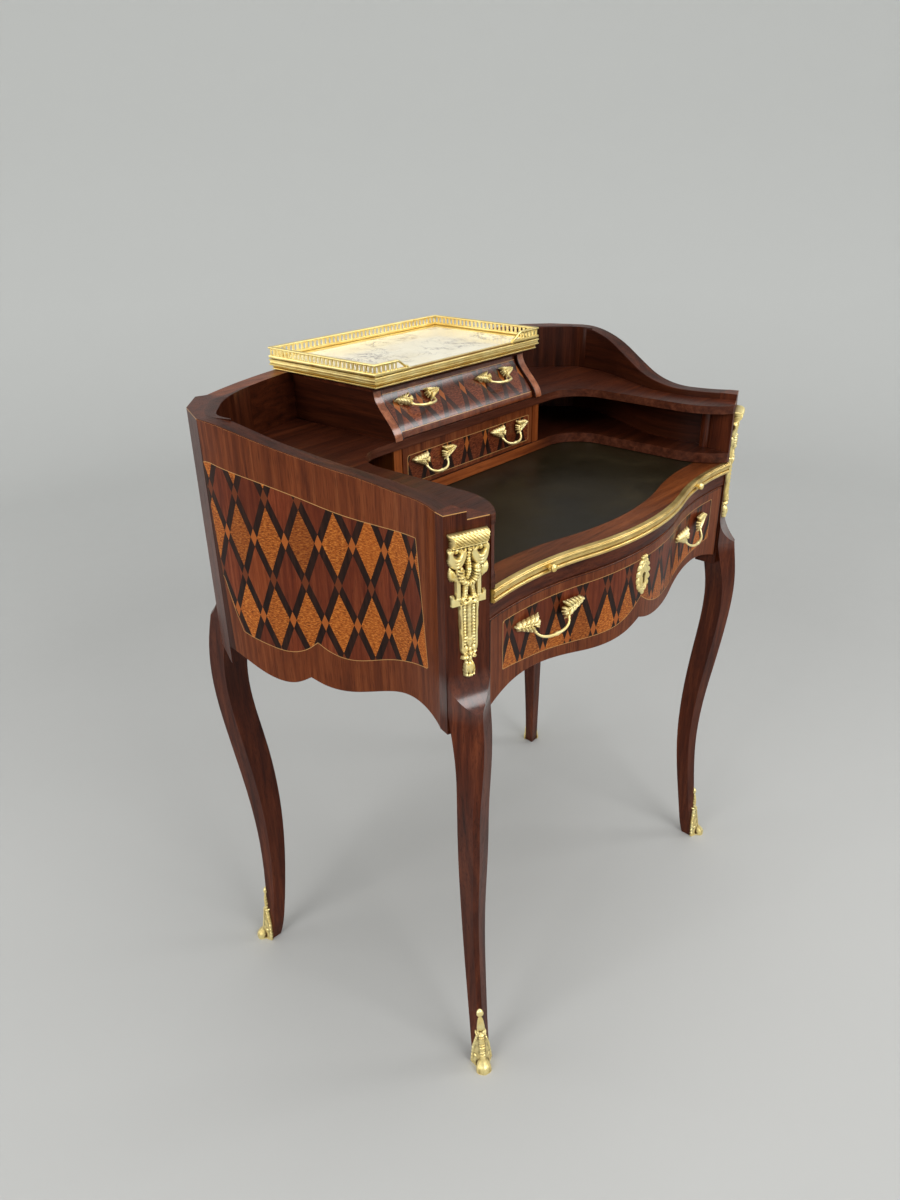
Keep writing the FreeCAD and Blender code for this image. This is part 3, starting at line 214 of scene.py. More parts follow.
def inner_distance(x, z, low, high, left, right):
    """Distance inside a field with a curved lower and upper edge: the least of four, square to the sloping
    edges."""
    def square_on(curve, gap):
        """Upright gap to a curve, measured square to the curve's slope."""
        slope = (level_at(curve, x + 1) - level_at(curve, x - 1)) / 2
        return gap / np.sqrt(1 + slope ** 2)
    below = square_on(high, level_at(high, x) - z)
    above = square_on(low, z - level_at(low, x))
    return np.minimum(np.minimum(below, above), np.minimum(x - left, right - x))


def lozenge_marks(x, z, pitch, rise, x0, z0, inside):
    """Lattice place and distance inside the inlay's border: whole numbers lie on the two sets of slanting
    lines."""
    u, w = (x - x0) / pitch, (z - z0) / (2 * rise)
    return np.stack([u + w, u - w, inside], -1)


# Node helpers

def node(tree, kind, settings=None, **inputs):
    """A node with its own settings; inputs are values or sockets to link, by name or by number as n0, n1."""
    made = tree.nodes.new(kind)
    for key, value in (settings or {}).items():
        setattr(made, key, value)
    for key, value in inputs.items():
        by_number = key[0] == "n" and key[1:].isdigit()
        socket = made.inputs[int(key[1:]) if by_number else key.replace("_", " ")]
        if isinstance(value, bpy.types.NodeSocket):
            tree.links.new(value, socket)
        else:
            socket.default_value = value
    return made


def maths(tree, operation, a, b=None, c=None):
    """Result of a maths node."""
    inputs = {"n%d" % k: v for k, v in enumerate((a, b, c)) if v is not None}
    return node(tree, "ShaderNodeMath", {"operation": operation}, **inputs).outputs[0]


def near_zero(tree, value, limit):
    """Mask of the places where a value is nearer to zero than a limit."""
    return maths(tree, "LESS_THAN", maths(tree, "ABSOLUTE", value), limit)


def all_of(tree, first, *others):
    """Mask of the places where every one of the masks holds: their product."""
    for mask in others:
        first = maths(tree, "MULTIPLY", first, mask)
    return first


def split(tree, vector):
    """The three parts of a vector."""
    return node(tree, "ShaderNodeSeparateXYZ", None, Vector=vector).outputs


def blend(tree, share, a, b):
    """Mix of two colours: the second one by its share."""
    settings = {"data_type": "RGBA"}
    return node(tree, "ShaderNodeMix", settings, n0=share, n6=a, n7=b).outputs[2]


def between(tree, value, low, high, to_low=0.0, to_high=1.0):
    """Value carried from one range to another, held at the ends."""
    ranges = {"n1": low, "n2": high, "n3": to_low, "n4": to_high}
    return node(tree, "ShaderNodeMapRange", {"clamp": True}, n0=value, **ranges).outputs[0]


def stops(tree, value, *colours):
    """Colour along a row of (place, colour) stops."""
    made = node(tree, "ShaderNodeValToRGB", None, Fac=value)
    row = made.color_ramp.elements
    while len(row) < len(colours):
        row.new(0.5)
    for element, (place, colour) in zip(row, colours):
        element.position = place
        element.color = colour
    return made.outputs[0]


def noise(tree, place, scale, detail=3.0, rough=0.55, bend=0.0):
    """Soft noise from 0 to 1 over a place."""
    return node(tree, "ShaderNodeTexNoise", None, Vector=place, Scale=scale, Detail=detail,
                Roughness=rough, Distortion=bend).outputs[0]


def stretched(tree, place, scale, turn=(0, 0, 0)):
    """Place turned and scaled, so that a pattern on it is drawn out."""
    return node(tree, "ShaderNodeMapping", None, Vector=place, Scale=scale, Rotation=turn).outputs[0]


def group(name, inputs, outputs):
    """Empty node group with named sockets; returns the group, its input node and its output node."""
    tree = bpy.data.node_groups.new(name, "ShaderNodeTree")
    for key, kind in inputs:
        tree.interface.new_socket(key, in_out="INPUT", socket_type=kind)
    for key in outputs:
        tree.interface.new_socket(key, in_out="OUTPUT", socket_type="NodeSocketFloat")
    return tree, tree.nodes.new("NodeGroupInput"), tree.nodes.new("NodeGroupOutput")


def use(tree, shared, **inputs):
    """Outputs of a shared group that is placed in a tree."""
    return node(tree, "ShaderNodeGroup", {"node_tree": shared}, **inputs).outputs


def colour(r, g, b):
    """A display colour from 0 to 255 as the linear value that a shader takes."""
    c = np.array([r, g, b]) / 255
    linear = np.where(c <= 0.04045, c / 12.92, ((c + 0.055) / 1.055) ** 2.4)
    return (*linear.tolist(), 1.0)


def finish(name, shader_values):
    """New material with a Principled shader; plain values go onto the shader's own sockets."""
    material = bpy.data.materials.new(name)
    material.use_nodes = True
    tree = material.node_tree
    shader = tree.nodes["Principled BSDF"]
    for key, value in shader_values.items():
        shader.inputs[key].default_value = value
    return material, tree, shader


def feed(tree, shader, **sockets):
    """Link sockets to the shader's inputs of the same names."""
    for key, socket in sockets.items():
        tree.links.new(socket, shader.inputs[key.replace("_", " ")])


def bump(tree, height, strength, distance):
    """Normal bent by a height."""
    return node(tree, "ShaderNodeBump", None, Height=height, Strength=strength, Distance=distance).outputs[0]


def object_place(tree):
    """Place on the object, in metres."""
    return tree.nodes.new("ShaderNodeTexCoord").outputs["Object"]


def own_mark(tree, name):
    """A mark that the piece's points carry."""
    return node(tree, "ShaderNodeAttribute", {"attribute_name": name}).outputs["Vector"]


# Shared effects

def make_wood_figure():
    """Grain along the third axis: slow bands, fine streaks and short dark pores."""
    tree, start, end = group("Wood figure", [("Place", "NodeSocketVector")], ["Streak", "Pores", "Cloud"])
    place = start.outputs["Place"]
    streak = noise(tree, stretched(tree, place, (110, 110, 5)), 1.0, 5.0, 0.62, 0.35)
    pores = noise(tree, stretched(tree, place, (1000, 1000, 42)), 1.0, 2.0, 0.5)
    cloud = noise(tree, stretched(tree, place, (14, 14, 6)), 1.0, 2.0, 0.5)
    tree.links.new(between(tree, streak, 0.28, 0.72), end.inputs["Streak"])
    tree.links.new(between(tree, pores, 0.54, 0.68), end.inputs["Pores"])
    tree.links.new(between(tree, cloud, 0.3, 0.7), end.inputs["Cloud"])
    return tree


def make_lozenges():
    """Masks from the lattice place: slanting bands where a coordinate is near a whole number, the small
    lozenges where two bands cross, every second row of large lozenges, and one tone for each lozenge."""
    inputs = [("Lattice", "NodeSocketVector"), ("Width", "NodeSocketFloat")]
    outputs = ["Band", "Crossing", "Pale_row", "Tone", "Crossing_row"]
    tree, start, end = group("Lozenge inlay", inputs, outputs)
    near, cell, line = [], [], []
    for value in split(tree, start.outputs["Lattice"])[:2]:
        whole = maths(tree, "ROUND", value)
        gap = maths(tree, "ABSOLUTE", maths(tree, "SUBTRACT", value, whole))
        near.append(maths(tree, "LESS_THAN", gap, start.outputs["Width"]))
        cell.append(maths(tree, "FLOOR", value))
        line.append(whole)
    row = maths(tree, "FLOORED_MODULO", maths(tree, "SUBTRACT", cell[0], cell[1]), 2.0)
    crossing_row = maths(tree, "FLOORED_MODULO", maths(tree, "SUBTRACT", line[0], line[1]), 2.0)
    corner = node(tree, "ShaderNodeCombineXYZ", None, n0=cell[0], n1=cell[1]).outputs[0]
    tone = node(tree, "ShaderNodeTexWhiteNoise", {"noise_dimensions": "2D"}, Vector=corner).outputs[0]
    results = [
        maths(tree, "MAXIMUM", near[0], near[1]),
        maths(tree, "MULTIPLY", near[0], near[1]),
        maths(tree, "LESS_THAN", row, 0.5),
        tone,
        maths(tree, "LESS_THAN", crossing_row, 0.5),
    ]
    for key, result in zip(outputs, results):
        tree.links.new(result, end.inputs[key])
    return tree


def make_gilt_wear():
    """Gilding: soft clouds of tone, fine grain of the cast surface, and dark specks."""
    tree, start, end = group("Gilt wear", [("Place", "NodeSocketVector")], ["Cloud", "Grain", "Speck"])
    place = start.outputs["Place"]
    cloud = noise(tree, place, 45.0, 3.0, 0.6)
    grain = noise(tree, place, 900.0, 2.0, 0.6)
    speck = noise(tree, place, 260.0, 2.0, 0.5)
    tree.links.new(between(tree, cloud, 0.3, 0.7), end.inputs["Cloud"])
    tree.links.new(grain, end.inputs["Grain"])
    tree.links.new(between(tree, speck, 0.62, 0.74), end.inputs["Speck"])
    return tree


WOOD_FIGURE = make_wood_figure()
LOZENGES = make_lozenges()
GILT_WEAR = make_gilt_wear()

# Finishes

ALONG_X = (0, math.radians(90), 0)
ALONG_Y = (math.radians(90), 0, 0)
ALONG_Z = (0, 0, 0)
SOLID_POLISH = {"Coat Roughness": 0.18, "Specular IOR Level": 0.1}
VENEER_POLISH = {"Coat Roughness": 0.2, "Specular IOR Level": 0.1}
FULL_POLISH = 0.9          # what full polish adds to the weight of the coat
BAND_WIDTH = 0.11          # half width of the lattice's bands, in cells
STRINGING = colour(192, 146, 90)
# Near-black for the painted shadow in the gaps beside drawer fronts.
GAP_SHADOW_BLACK = colour(16, 7, 4)


def wood_colour(tree, place, dark, middle, light):
    """Grain colour and the pores' mask at a place."""
    figure = use(tree, WOOD_FIGURE, Place=place)
    tone = stops(tree, figure["Streak"], (0.0, dark), (0.5, middle), (1.0, light))
    shade = between(tree, figure["Cloud"], 0.0, 1.0, 0.0, 0.45)
    tone = blend(tree, shade, tone, dark)
    deep = tuple(0.45 * v for v in dark[:3]) + (1.0,)
    return blend(tree, maths(tree, "MULTIPLY", figure["Pores"], 0.55), tone, deep), figure


def polish(tree, shader, figure):
    """French polish: pores are duller and lie a little deeper than the wood between them."""
    rough = between(tree, figure["Pores"], 0.0, 1.0, 0.34, 0.48)
    feed(tree, shader, Roughness=rough, Normal=bump(tree, figure["Pores"], 0.12, -0.0002))


def wood(name, tones, turn=ALONG_Z, gloss=0.06, rim_z=None, step_highlight_z=None, bright_z=None,
         edge=None, honey_x=None, gap_shadow_x=None):
    """Polished wood on a carried-over part. A pale stringing line runs round the top edge at rim_z, apart
    from faces that look inwards; a pale line of the same colour along the front edge of the lower inner half,
    at the step's height, is a painted highlight. Between the heights of bright_z the polish is full. Edge
    gives its own tones to upright faces, or to faces that look to the front, which are fully polished as
    "front" and not as
    "inside"; it may have honey lipping inside honey_x and a painted shadow of the gap beside a drawer within
    the given distance of the middle."""
    material, tree, shader = finish(name, {"Coat Weight": gloss, **SOLID_POLISH})
    place = object_place(tree)
    grain_place = stretched(tree, place, (1, 1, 1), turn)
    tone, figure = wood_colour(tree, grain_place, *tones)
    if edge or rim_z is not None:
        facing = split(tree, tree.nodes.new("ShaderNodeNewGeometry").outputs["Normal"])
    if honey_x or gap_shadow_x or rim_z is not None:
        at = split(tree, place)
    if edge:
        direction, edge_tones = edge
        lipping, _ = wood_colour(tree, grain_place, *edge_tones)
        if honey_x:
            honey, _ = wood_colour(tree, grain_place, *HONEY)
            inner, outer = (x * MM for x in honey_x)
            share = between(tree, maths(tree, "ABSOLUTE", at[0]), inner, outer, 1.0, 0.0)
            lipping = blend(tree, share, lipping, honey)
        if gap_shadow_x:
            # Painted shadow of the gap between a small drawer's front and this wall's front edge.
            lipping = blend(tree, near_zero(tree, at[0], gap_shadow_x * MM), lipping, GAP_SHADOW_BLACK)
        if direction == "upright":
            mask = near_zero(tree, facing[2], 0.5)
        else:
            mask = maths(tree, "LESS_THAN", facing[1], -0.25)
        if direction == "front":
            feed(tree, shader, Coat_Weight=maths(tree, "MULTIPLY_ADD", mask, FULL_POLISH, gloss))
        tone = blend(tree, mask, tone, lipping)
    if rim_z is not None:
        line = maths(tree, "GREATER_THAN", at[2], (rim_z - 1.0) * MM)
        upright = near_zero(tree, facing[2], 0.5)
        outwards = maths(tree, "GREATER_THAN", maths(tree, "MULTIPLY", facing[0], at[0]), -0.1)
        tone = blend(tree, all_of(tree, line, upright, outwards), tone, STRINGING)
    # Painted highlight: a pale line in the stringing's colour along the step's front edge over the lower
    # inner half, where light catches that edge.
    if step_highlight_z is not None:
        line = maths(tree, "COMPARE", at[2], (step_highlight_z - 0.5) * MM, 0.6 * MM)
        inner = near_zero(tree, at[0], STEP_X * MM)
        front = maths(tree, "LESS_THAN", facing[1], -0.5)
        tone = blend(tree, all_of(tree, line, inner, front), tone, STRINGING)
    if bright_z is not None:
        low, high = bright_z
        rising = between(tree, at[2], (low - 12) * MM, (low + 6) * MM)
        falling = between(tree, at[2], high * MM, (high - 20) * MM)
        coat = maths(tree, "MULTIPLY_ADD", all_of(tree, rising, falling), FULL_POLISH, gloss)
        feed(tree, shader, Coat_Weight=coat)
    feed(tree, shader, Base_Color=tone)
    polish(tree, shader, figure)
    return material


def veneer(name, red, orange, band, gloss=0.06, side=None, frieze=False):
    """Parquetry: lozenge lattice inside the border line, plain veneer outside it, pale stringing on the line.
    The mark lattice holds the lattice place and the distance inside the border, and grain the place for the
    figure. The mark edges holds for a side the distances from its rim and from the stile and where it is
    plain wood, and for the frieze the distances from its top and ends, along which the shadow of the gap to
    the case is painted, and from the keyhole, inside which the hole's shade is painted."""
    material, tree, shader = finish(name, {"Coat Weight": gloss, **VENEER_POLISH})
    lattice, place = own_mark(tree, "lattice"), own_mark(tree, "grain")
    inside = split(tree, lattice)[2]
    plain, figure = wood_colour(tree, place, *CASE_RED)
    inlay = use(tree, LOZENGES, Lattice=lattice, Width=BAND_WIDTH)
    upright, _ = wood_colour(tree, stretched(tree, place, (1.6, 1.6, 1.6)), *red)
    speckle = noise(tree, stretched(tree, place, (230, 230, 780)), 1.0, 4.0, 0.65, 0.4)
    burl = stops(tree, between(tree, speckle, 0.36, 0.64), *zip((0.0, 0.5, 1.0), orange))
    lozenge = blend(tree, inlay["Pale_row"], upright, burl)
    lozenge = blend(tree, between(tree, inlay["Tone"], 0.25, 1.0, 0.0, 0.5), lozenge, red[0])
    lozenge = blend(tree, between(tree, inlay["Tone"], 0.25, 0.0, 0.0, 0.35), lozenge, orange[1])
    dark, _ = wood_colour(tree, stretched(tree, place, (1.3, 1.3, 1.3)), *band)
    lozenge = blend(tree, inlay["Band"], lozenge, dark)
    small = blend(tree, inlay["Crossing_row"], *SMALL_LOZENGE)
    small = blend(tree, maths(tree, "MULTIPLY", speckle, 0.5), small, red[1])
    lozenge = blend(tree, inlay["Crossing"], lozenge, small)
    tone = blend(tree, maths(tree, "GREATER_THAN", inside, 0.0), plain, lozenge)
    line = near_zero(tree, inside, 0.42)
    tone = blend(tree, maths(tree, "MULTIPLY", line, 0.8), tone, STRINGING)
    if side or frieze:
        edges = split(tree, own_mark(tree, "edges"))
    if side:
        solid, _ = wood_colour(tree, place, *side)
        tone = blend(tree, maths(tree, "LESS_THAN", edges[0], 0.9), tone, STRINGING)
        beyond = maths(tree, "LESS_THAN", edges[1], 0.0)
        tone = blend(tree, maths(tree, "MAXIMUM", beyond, edges[2]), tone, solid)
        joint = near_zero(tree, edges[1], 0.5)
        tone = blend(tree, maths(tree, "MULTIPLY", joint, 0.8), tone, colour(20, 8, 5))
    if frieze:
        # Painted shadow of the gap between the drawer front and the case, along its top and ends.
        tone = blend(tree, maths(tree, "LESS_THAN", edges[0], 1.7), tone, GAP_SHADOW_BLACK)
        # Painted shade inside the keyhole, seen through the plate's open hole.
        tone = blend(tree, maths(tree, "LESS_THAN", edges[1], 0.0), tone, colour(8, 6, 5))
    feed(tree, shader, Base_Color=tone)
    polish(tree, shader, figure)
    return material


def brass(name, deep, middle, bright, metal=1.0):
    """Gilt brass; the mark cavity darkens and dulls the hollows between the raised parts: painted shade in
    the clefts and grooves, together with the patina that gathers there.
    """
    material, tree, shader = finish(name, {"Metallic": metal})
    wear = use(tree, GILT_WEAR, Place=object_place(tree))
    tone = stops(tree, wear["Cloud"], (0.0, middle), (1.0, bright))
    tone = blend(tree, maths(tree, "MULTIPLY", wear["Speck"], 0.22), tone, deep)
    hollow = between(tree, split(tree, own_mark(tree, "cavity"))[0], 0.0, 1.0)
    tone = blend(tree, hollow, tone, deep)
    rough = between(tree, wear["Cloud"], 0.0, 1.0, 0.3, 0.42)
    rough = maths(tree, "MULTIPLY_ADD", hollow, 0.3, rough)
    feed(tree, shader, Base_Color=tone, Roughness=rough, Normal=bump(tree, wear["Grain"], 0.06, 0.0004))
    return material


def marble(name):
    """Cream marble with slow clouds and broken grey-violet veins where two bent noises pass their middle."""
    material, tree, shader = finish(name, {"Coat Weight": 0.25, "Coat Roughness": 0.08})
    place = object_place(tree)
    cloud = noise(tree, place, 14.0, 4.0, 0.55, 0.6)
    cream = (0.3, colour(226, 215, 186)), (0.55, colour(231, 224, 202)), (0.75, colour(213, 197, 168))
    tone = stops(tree, cloud, *cream)
    drawn_out = stretched(tree, place, (1.0, 0.55, 1.0), (0, 0, 0.7))
    patch = between(tree, noise(tree, place, 11.0, 2.0), 0.45, 0.62)
    veins = (16.0, 1.6, colour(96, 88, 100), 0.03), (34.0, 2.2, colour(120, 112, 116), 0.035)
    for scale, bend, dark, reach in veins:
        vein = noise(tree, drawn_out, scale, 5.0, 0.55, bend)
        gap = maths(tree, "ABSOLUTE", maths(tree, "SUBTRACT", vein, 0.5))
        strength = between(tree, gap, 0.0, reach, 0.85, 0.0)
        tone = blend(tree, all_of(tree, strength, patch), tone, dark)
    feed(tree, shader, Base_Color=tone, Roughness=between(tree, cloud, 0.3, 0.7, 0.14, 0.26))
    return material


def leather(name):
    """Dark green-brown hide: fine closed grain, soft clouds and duller rubbed patches."""
    material, tree, shader = finish(name, {"Specular IOR Level": 0.16})
    place = object_place(tree)
    cloud = noise(tree, place, 9.0, 4.0, 0.6)
    tone = stops(tree, cloud, (0.3, colour(17, 13, 5)), (0.6, colour(29, 23, 10)), (0.8, colour(42, 34, 17)))
    pattern = {"feature": "DISTANCE_TO_EDGE"}
    cells = node(tree, "ShaderNodeTexVoronoi", pattern, Vector=place, Scale=900.0).outputs[0]
    rough = between(tree, cloud, 0.3, 0.7, 0.3, 0.46)
    feed(tree, shader, Base_Color=tone, Roughness=rough, Normal=bump(tree, cells, 0.14, 0.0003))
    return material


def steel(name):
    """Dull iron: brushed tone and small stains."""
    material, tree, shader = finish(name, {"Metallic": 1.0})
    cloud = noise(tree, object_place(tree), 60.0, 4.0, 0.6)
    tone = stops(tree, cloud, (0.3, colour(96, 92, 86)), (0.7, colour(140, 136, 130)))
    feed(tree, shader, Base_Color=tone, Roughness=between(tree, cloud, 0.3, 0.7, 0.35, 0.55))
    return material


MAHOGANY = (colour(42, 15, 8), colour(80, 35, 18), colour(108, 54, 30))
CASE_RED = (colour(66, 28, 13), colour(109, 53, 25), colour(134, 74, 40))
DEEP_RED = (colour(32, 12, 6), colour(60, 25, 12), colour(82, 39, 20))
EDGE_RED = (colour(44, 19, 12), colour(82, 42, 27), colour(108, 62, 43))
RIBBON_RED = (colour(98, 50, 28), colour(146, 84, 52), colour(174, 110, 74))
HONEY = (colour(98, 44, 18), colour(140, 73, 33), colour(162, 90, 44))
SLIDE_BROWN = (colour(54, 23, 9), colour(94, 47, 20), colour(120, 64, 30))
BAND = (colour(18, 9, 6), colour(38, 20, 13), colour(56, 31, 20))
ORANGE = (colour(98, 44, 12), colour(158, 82, 27), colour(206, 128, 54))
RED_LOZENGE = (colour(68, 25, 12), colour(114, 50, 25), colour(142, 72, 40))
DRAWER_RED = (colour(60, 24, 12), colour(108, 50, 26), colour(140, 74, 42))
LINING = (colour(128, 88, 54), colour(160, 118, 76), colour(180, 138, 92))
# Lighter band tones for the upper drawer: the polish's sheen, which washes out the bands' contrast, is
# painted into them.
SHEEN_PAINTED_BAND = (colour(34, 17, 11), colour(56, 30, 20), colour(74, 41, 27))
SMALL_LOZENGE = (colour(92, 46, 22), colour(164, 90, 36))
TRAY_GOLD = (colour(140, 100, 40), colour(244, 214, 132), colour(255, 238, 172))
MOULDING_GOLD = (colour(92, 62, 22), colour(214, 180, 104), colour(238, 212, 142))
MOUNT_GOLD = (colour(82, 50, 16), colour(250, 222, 142), colour(255, 242, 180))
HANDLE_GOLD = (colour(124, 84, 30), colour(252, 226, 150), colour(255, 244, 188))

# The front legs carry the painted highlight along the step's front edge at the shelf's height.
front_wood = wood("front_leg_wood", MAHOGANY, rim_z=ARM_Z, step_highlight_z=SHELF_Z, bright_z=(KNEE_Z - 4, KNEE_Z + 44))
back_wood = wood("back_leg_wood", MAHOGANY, rim_z=GALLERY_Z)
rail_wood = wood("rail_wood", MAHOGANY, turn=ALONG_X)
corner_wood = wood("gallery_corner_wood", DEEP_RED)
# The back panel's inner face, which looks to the front, takes the darker red tones as painted shade inside
# the gallery.
back_veneer = wood("back_veneer", CASE_RED, turn=ALONG_X, edge=("inside", DEEP_RED))
shelf_wood = wood("shelf_wood", DEEP_RED, turn=ALONG_X, edge=("upright", EDGE_RED))
base_wood = wood("base_wood", DEEP_RED, turn=ALONG_X, edge=("upright", EDGE_RED), honey_x=(110, 200))
# The bracket walls' front edges carry a painted shadow of the gap beside the upper drawer's front.
wall_wood = wood("wall_wood", DEEP_RED, turn=ALONG_Y, edge=("front", RIBBON_RED), gap_shadow_x=149.4)
post_wood = wood("post_wood", MAHOGANY, gloss=0.4)
honey_wood = wood("honey_wood", HONEY)
border_wood = wood("slide_border_wood", SLIDE_BROWN, turn=ALONG_X)
carcass_wood = wood("carcass_wood", LINING, turn=ALONG_Y, gloss=0.02)
lining_wood = wood("drawer_lining_wood", LINING, turn=ALONG_Y, gloss=0.05)
side_veneer = veneer("side_veneer", RED_LOZENGE, ORANGE, BAND, side=DEEP_RED)
frieze_veneer = veneer("frieze_veneer", RED_LOZENGE, ORANGE, BAND, frieze=True)
# The upper drawer's bands carry painted sheen in their lighter tones.
upper_veneer = veneer("upper_drawer_veneer", DRAWER_RED, DRAWER_RED, SHEEN_PAINTED_BAND, gloss=1.0)
lower_veneer = veneer("lower_drawer_veneer", DRAWER_RED, DRAWER_RED, BAND, gloss=0.3)
frame_brass = brass("tray_brass", *TRAY_GOLD)
moulding_brass = brass("moulding_brass", *MOULDING_GOLD)
mount_gilt = brass("mount_gilt", *MOUNT_GOLD, metal=0.85)
handle_gilt = brass("handle_gilt", *HANDLE_GOLD, metal=0.75)
tray_marble = marble("tray_marble")
slide_leather = leather("slide_leather")
dull_steel = steel("dull_steel")


# Sides

OUTSIDE = -20.0          # mark of places outside an inlay's border
FAR = 50.0               # mark of places far from any edge


def board_loop(low, high, thickness, inner, rows_front, rows_back):
    """Depth and height round a board's section: face upwards, top, back downwards, foot, with eased edges.
    Heights are given for each station, and inner gives the depths between the edges of top and foot."""
    start, tall = (low + EASE)[:, None], (high - low - 2 * EASE)[:, None]
    face = start + tall * np.linspace(0, 1, rows_front)
    rear = start + tall * np.linspace(1, 0, rows_back)
    over = np.array([EASE, *inner, thickness - EASE])
    rows, level = len(low), np.ones(len(over))
    depth = [face * 0, np.tile(over, (rows, 1)), rear * 0 + thickness, np.tile(over[::-1], (rows, 1))]
    z = [face, high[:, None] * level, rear, low[:, None] * level]
    return np.concatenate(depth, 1), np.concatenate(z, 1)


def side_plan(s):
    """Left side's plan curve and its outward direction by the length s from the bulge's tip forwards: arc,
    straight and counter-arc. The straight touches both circles and passes between them."""
    bulge, bulge_r = np.array(BULGE[:2]), BULGE[2]
    waist, waist_r = np.array(WAIST[:2]), WAIST[2]
    apart = bulge - waist
    run = math.sqrt(apart @ apart - (bulge_r + waist_r) ** 2)
    turn = math.atan2(apart[1], apart[0]) - math.atan2(run, bulge_r + waist_r)
    leave = bulge_r * turn
    phi = np.minimum(s, leave) / bulge_r
    out = np.stack([-np.cos(phi), -np.sin(phi)], -1)
    ahead = np.array([math.sin(turn), -math.cos(turn)])
    at = bulge + bulge_r * out + ahead * np.clip(s - leave, 0, run)[..., None]
    psi = turn - np.maximum(s - leave - run, 0) / waist_r
    hollow = np.stack([-np.cos(psi), -np.sin(psi)], -1)
    late = (s > leave + run)[..., None]
    return np.where(late, waist - waist_r * hollow, at), np.where(late, hollow, out)


def side_panel():
    """Left side: a closed section carried along the plan curve. Its top follows the swoop and its foot the
    apron, and both edges are eased by a small flat. The inlay's border is drawn over the length s."""
    face_rows = 66
    cusp_s, end_s = 124.3, 327.62
    cusp = (-10.5, -23.5)
    s = np.concatenate([np.linspace(-4.0, cusp_s, 46), np.linspace(cusp_s, end_s, 60)[1:]])
    at, out = side_plan(s)
    y = at[:, 1]
    swoop = bezier([(-144, ARM_Z), (-61.5, ARM_Z), (23.5, GALLERY_Z), (106, GALLERY_Z)], 120)
    top = level_at(swoop, y)
    back_apron = smooth_curve([(112, -8), (86, -14), (37, -32), (7, -33), cusp], 120)
    front_apron = smooth_curve([cusp, (-26, -33), (-52, -39), (-90, -32.5), (-131, -23), (-167, -26),
                                (-200, -34)], 120)
    low = KNEE_Z + np.where(y >= cusp[0], level_at(back_apron, y), level_at(front_apron, y))
    depth, z = board_loop(low, top, PANEL_T, (8.0, 16.0), face_rows, 14)
    plan = at[:, None] - out[:, None] * depth[..., None]
    back_x = BULGE[0] - np.sqrt((BULGE[2] - depth) ** 2 - (SIDE_BACK_Y - BULGE[1]) ** 2)
    plan[0] = np.stack([back_x[0], np.full_like(back_x[0], SIDE_BACK_Y)], -1)
    front_x = WAIST[0] + np.sqrt((WAIST[2] + depth) ** 2 - (SIDE_FRONT_Y - WAIST[1]) ** 2)
    past = plan[..., 1] < SIDE_FRONT_Y
    plan[past] = np.stack([front_x[past], np.full(past.sum(), SIDE_FRONT_Y)], -1)
    along = np.broadcast_to(s[:, None], z.shape)
    high_line = smooth_curve([(12, 849), (23, 847), (77, 837), (137, 818.5), (199, 798.5), (291, 794),
                              (306, 794)], 80)
    peak = (137.7, 632.6)
    low_line = np.concatenate([
        smooth_curve([(12, 637), (29, 630.7), (71, 620), (104, 616), (126.4, 623.4), peak], 60),
        smooth_curve([peak, (153, 621), (182.6, 612), (228, 621), (300, 635.7), (308, 637)], 60)[1:],
    ])
    joint = np.interp(z, [600, 660.5, 729, 792, 854, 899], [9, 6.5, 4, 0, -2.5, -4])
    back_line = np.maximum(joint, np.interp(z, [600, 636, 660, 700, 715], [40, 29, 19.5, 8, -10]))
    front_line = 299 - 0.104 * (z - 636)
    inside = inner_distance(along, z, low_line, high_line, back_line, front_line)
    inside[:, face_rows:] = OUTSIDE
    lattice = lozenge_marks(along, z, 41.4, 52.0, 25.9, 765.5, inside)
    plain = np.zeros(z.shape, bool)
    plain[:, face_rows:] = True
    lengthwise, upright = np.stack([z, depth, along], -1), np.stack([along, depth, z], -1)
    grain = np.where(plain[..., None], lengthwise, upright) * MM
    rim = np.where(plain, FAR, top[:, None] - z)
    stile = np.where(plain, FAR, along - joint)
    edges = np.stack([rim, stile, plain.astype(float)], -1)
    return closed_tube(np.concatenate([plan, z[..., None]], -1), lattice=lattice, grain=grain, edges=edges)


def gallery_corner():
    """Smooth inner corner between the left side and the back: a strip between a curve that leaves both inner
    faces without a bend and a line inside the wood, standing on the shelf."""
    inner = smooth_curve([(-378.2, 80), (-378.4, 104), (-371, 119.5), (-359.6, 132.2), (-343.4, 149.6),
                          (-324, 166.5), (-305, 178.8), (-280, 191.6), (-262, 199.2)], 40)
    outer = smooth_curve([(-380.4, 79), (-388, 112), (-383, 126), (-371, 142), (-356, 159), (-336, 177),
                          (-312, 184), (-283, 195), (-263, 202.4)], 40)
    eased = inner * 0.94 + outer * 0.06
    top_z = GALLERY_Z + 0.15
    loop = [(inner, SHELF_Z), (inner, GALLERY_Z - 0.4), (eased, top_z), (outer, top_z), (outer, SHELF_Z)]
    return closed_tube(np.stack([np.concatenate([line, np.full((40, 1), z)], -1) for line, z in loop], 1))


pair("gallery_corner", "", gallery_corner(), corner_wood, replaces=False)
pair("side_panel", "_veneered", side_panel(), side_veneer)


# Drawer fronts

def front_y(x):
    """Serpentine front: a swelling arc in the middle and a hollow arc at each end, equal in radius."""
    x = np.abs(x)
    swell = SWELL_Y + FRONT_R - np.sqrt(FRONT_R ** 2 - np.minimum(x, TURN_X) ** 2)
    hollow = HOLLOW_Y - FRONT_R + np.sqrt(FRONT_R ** 2 - (np.maximum(x, TURN_X) - 2 * TURN_X) ** 2)
    return np.where(x <= TURN_X, swell, hollow)


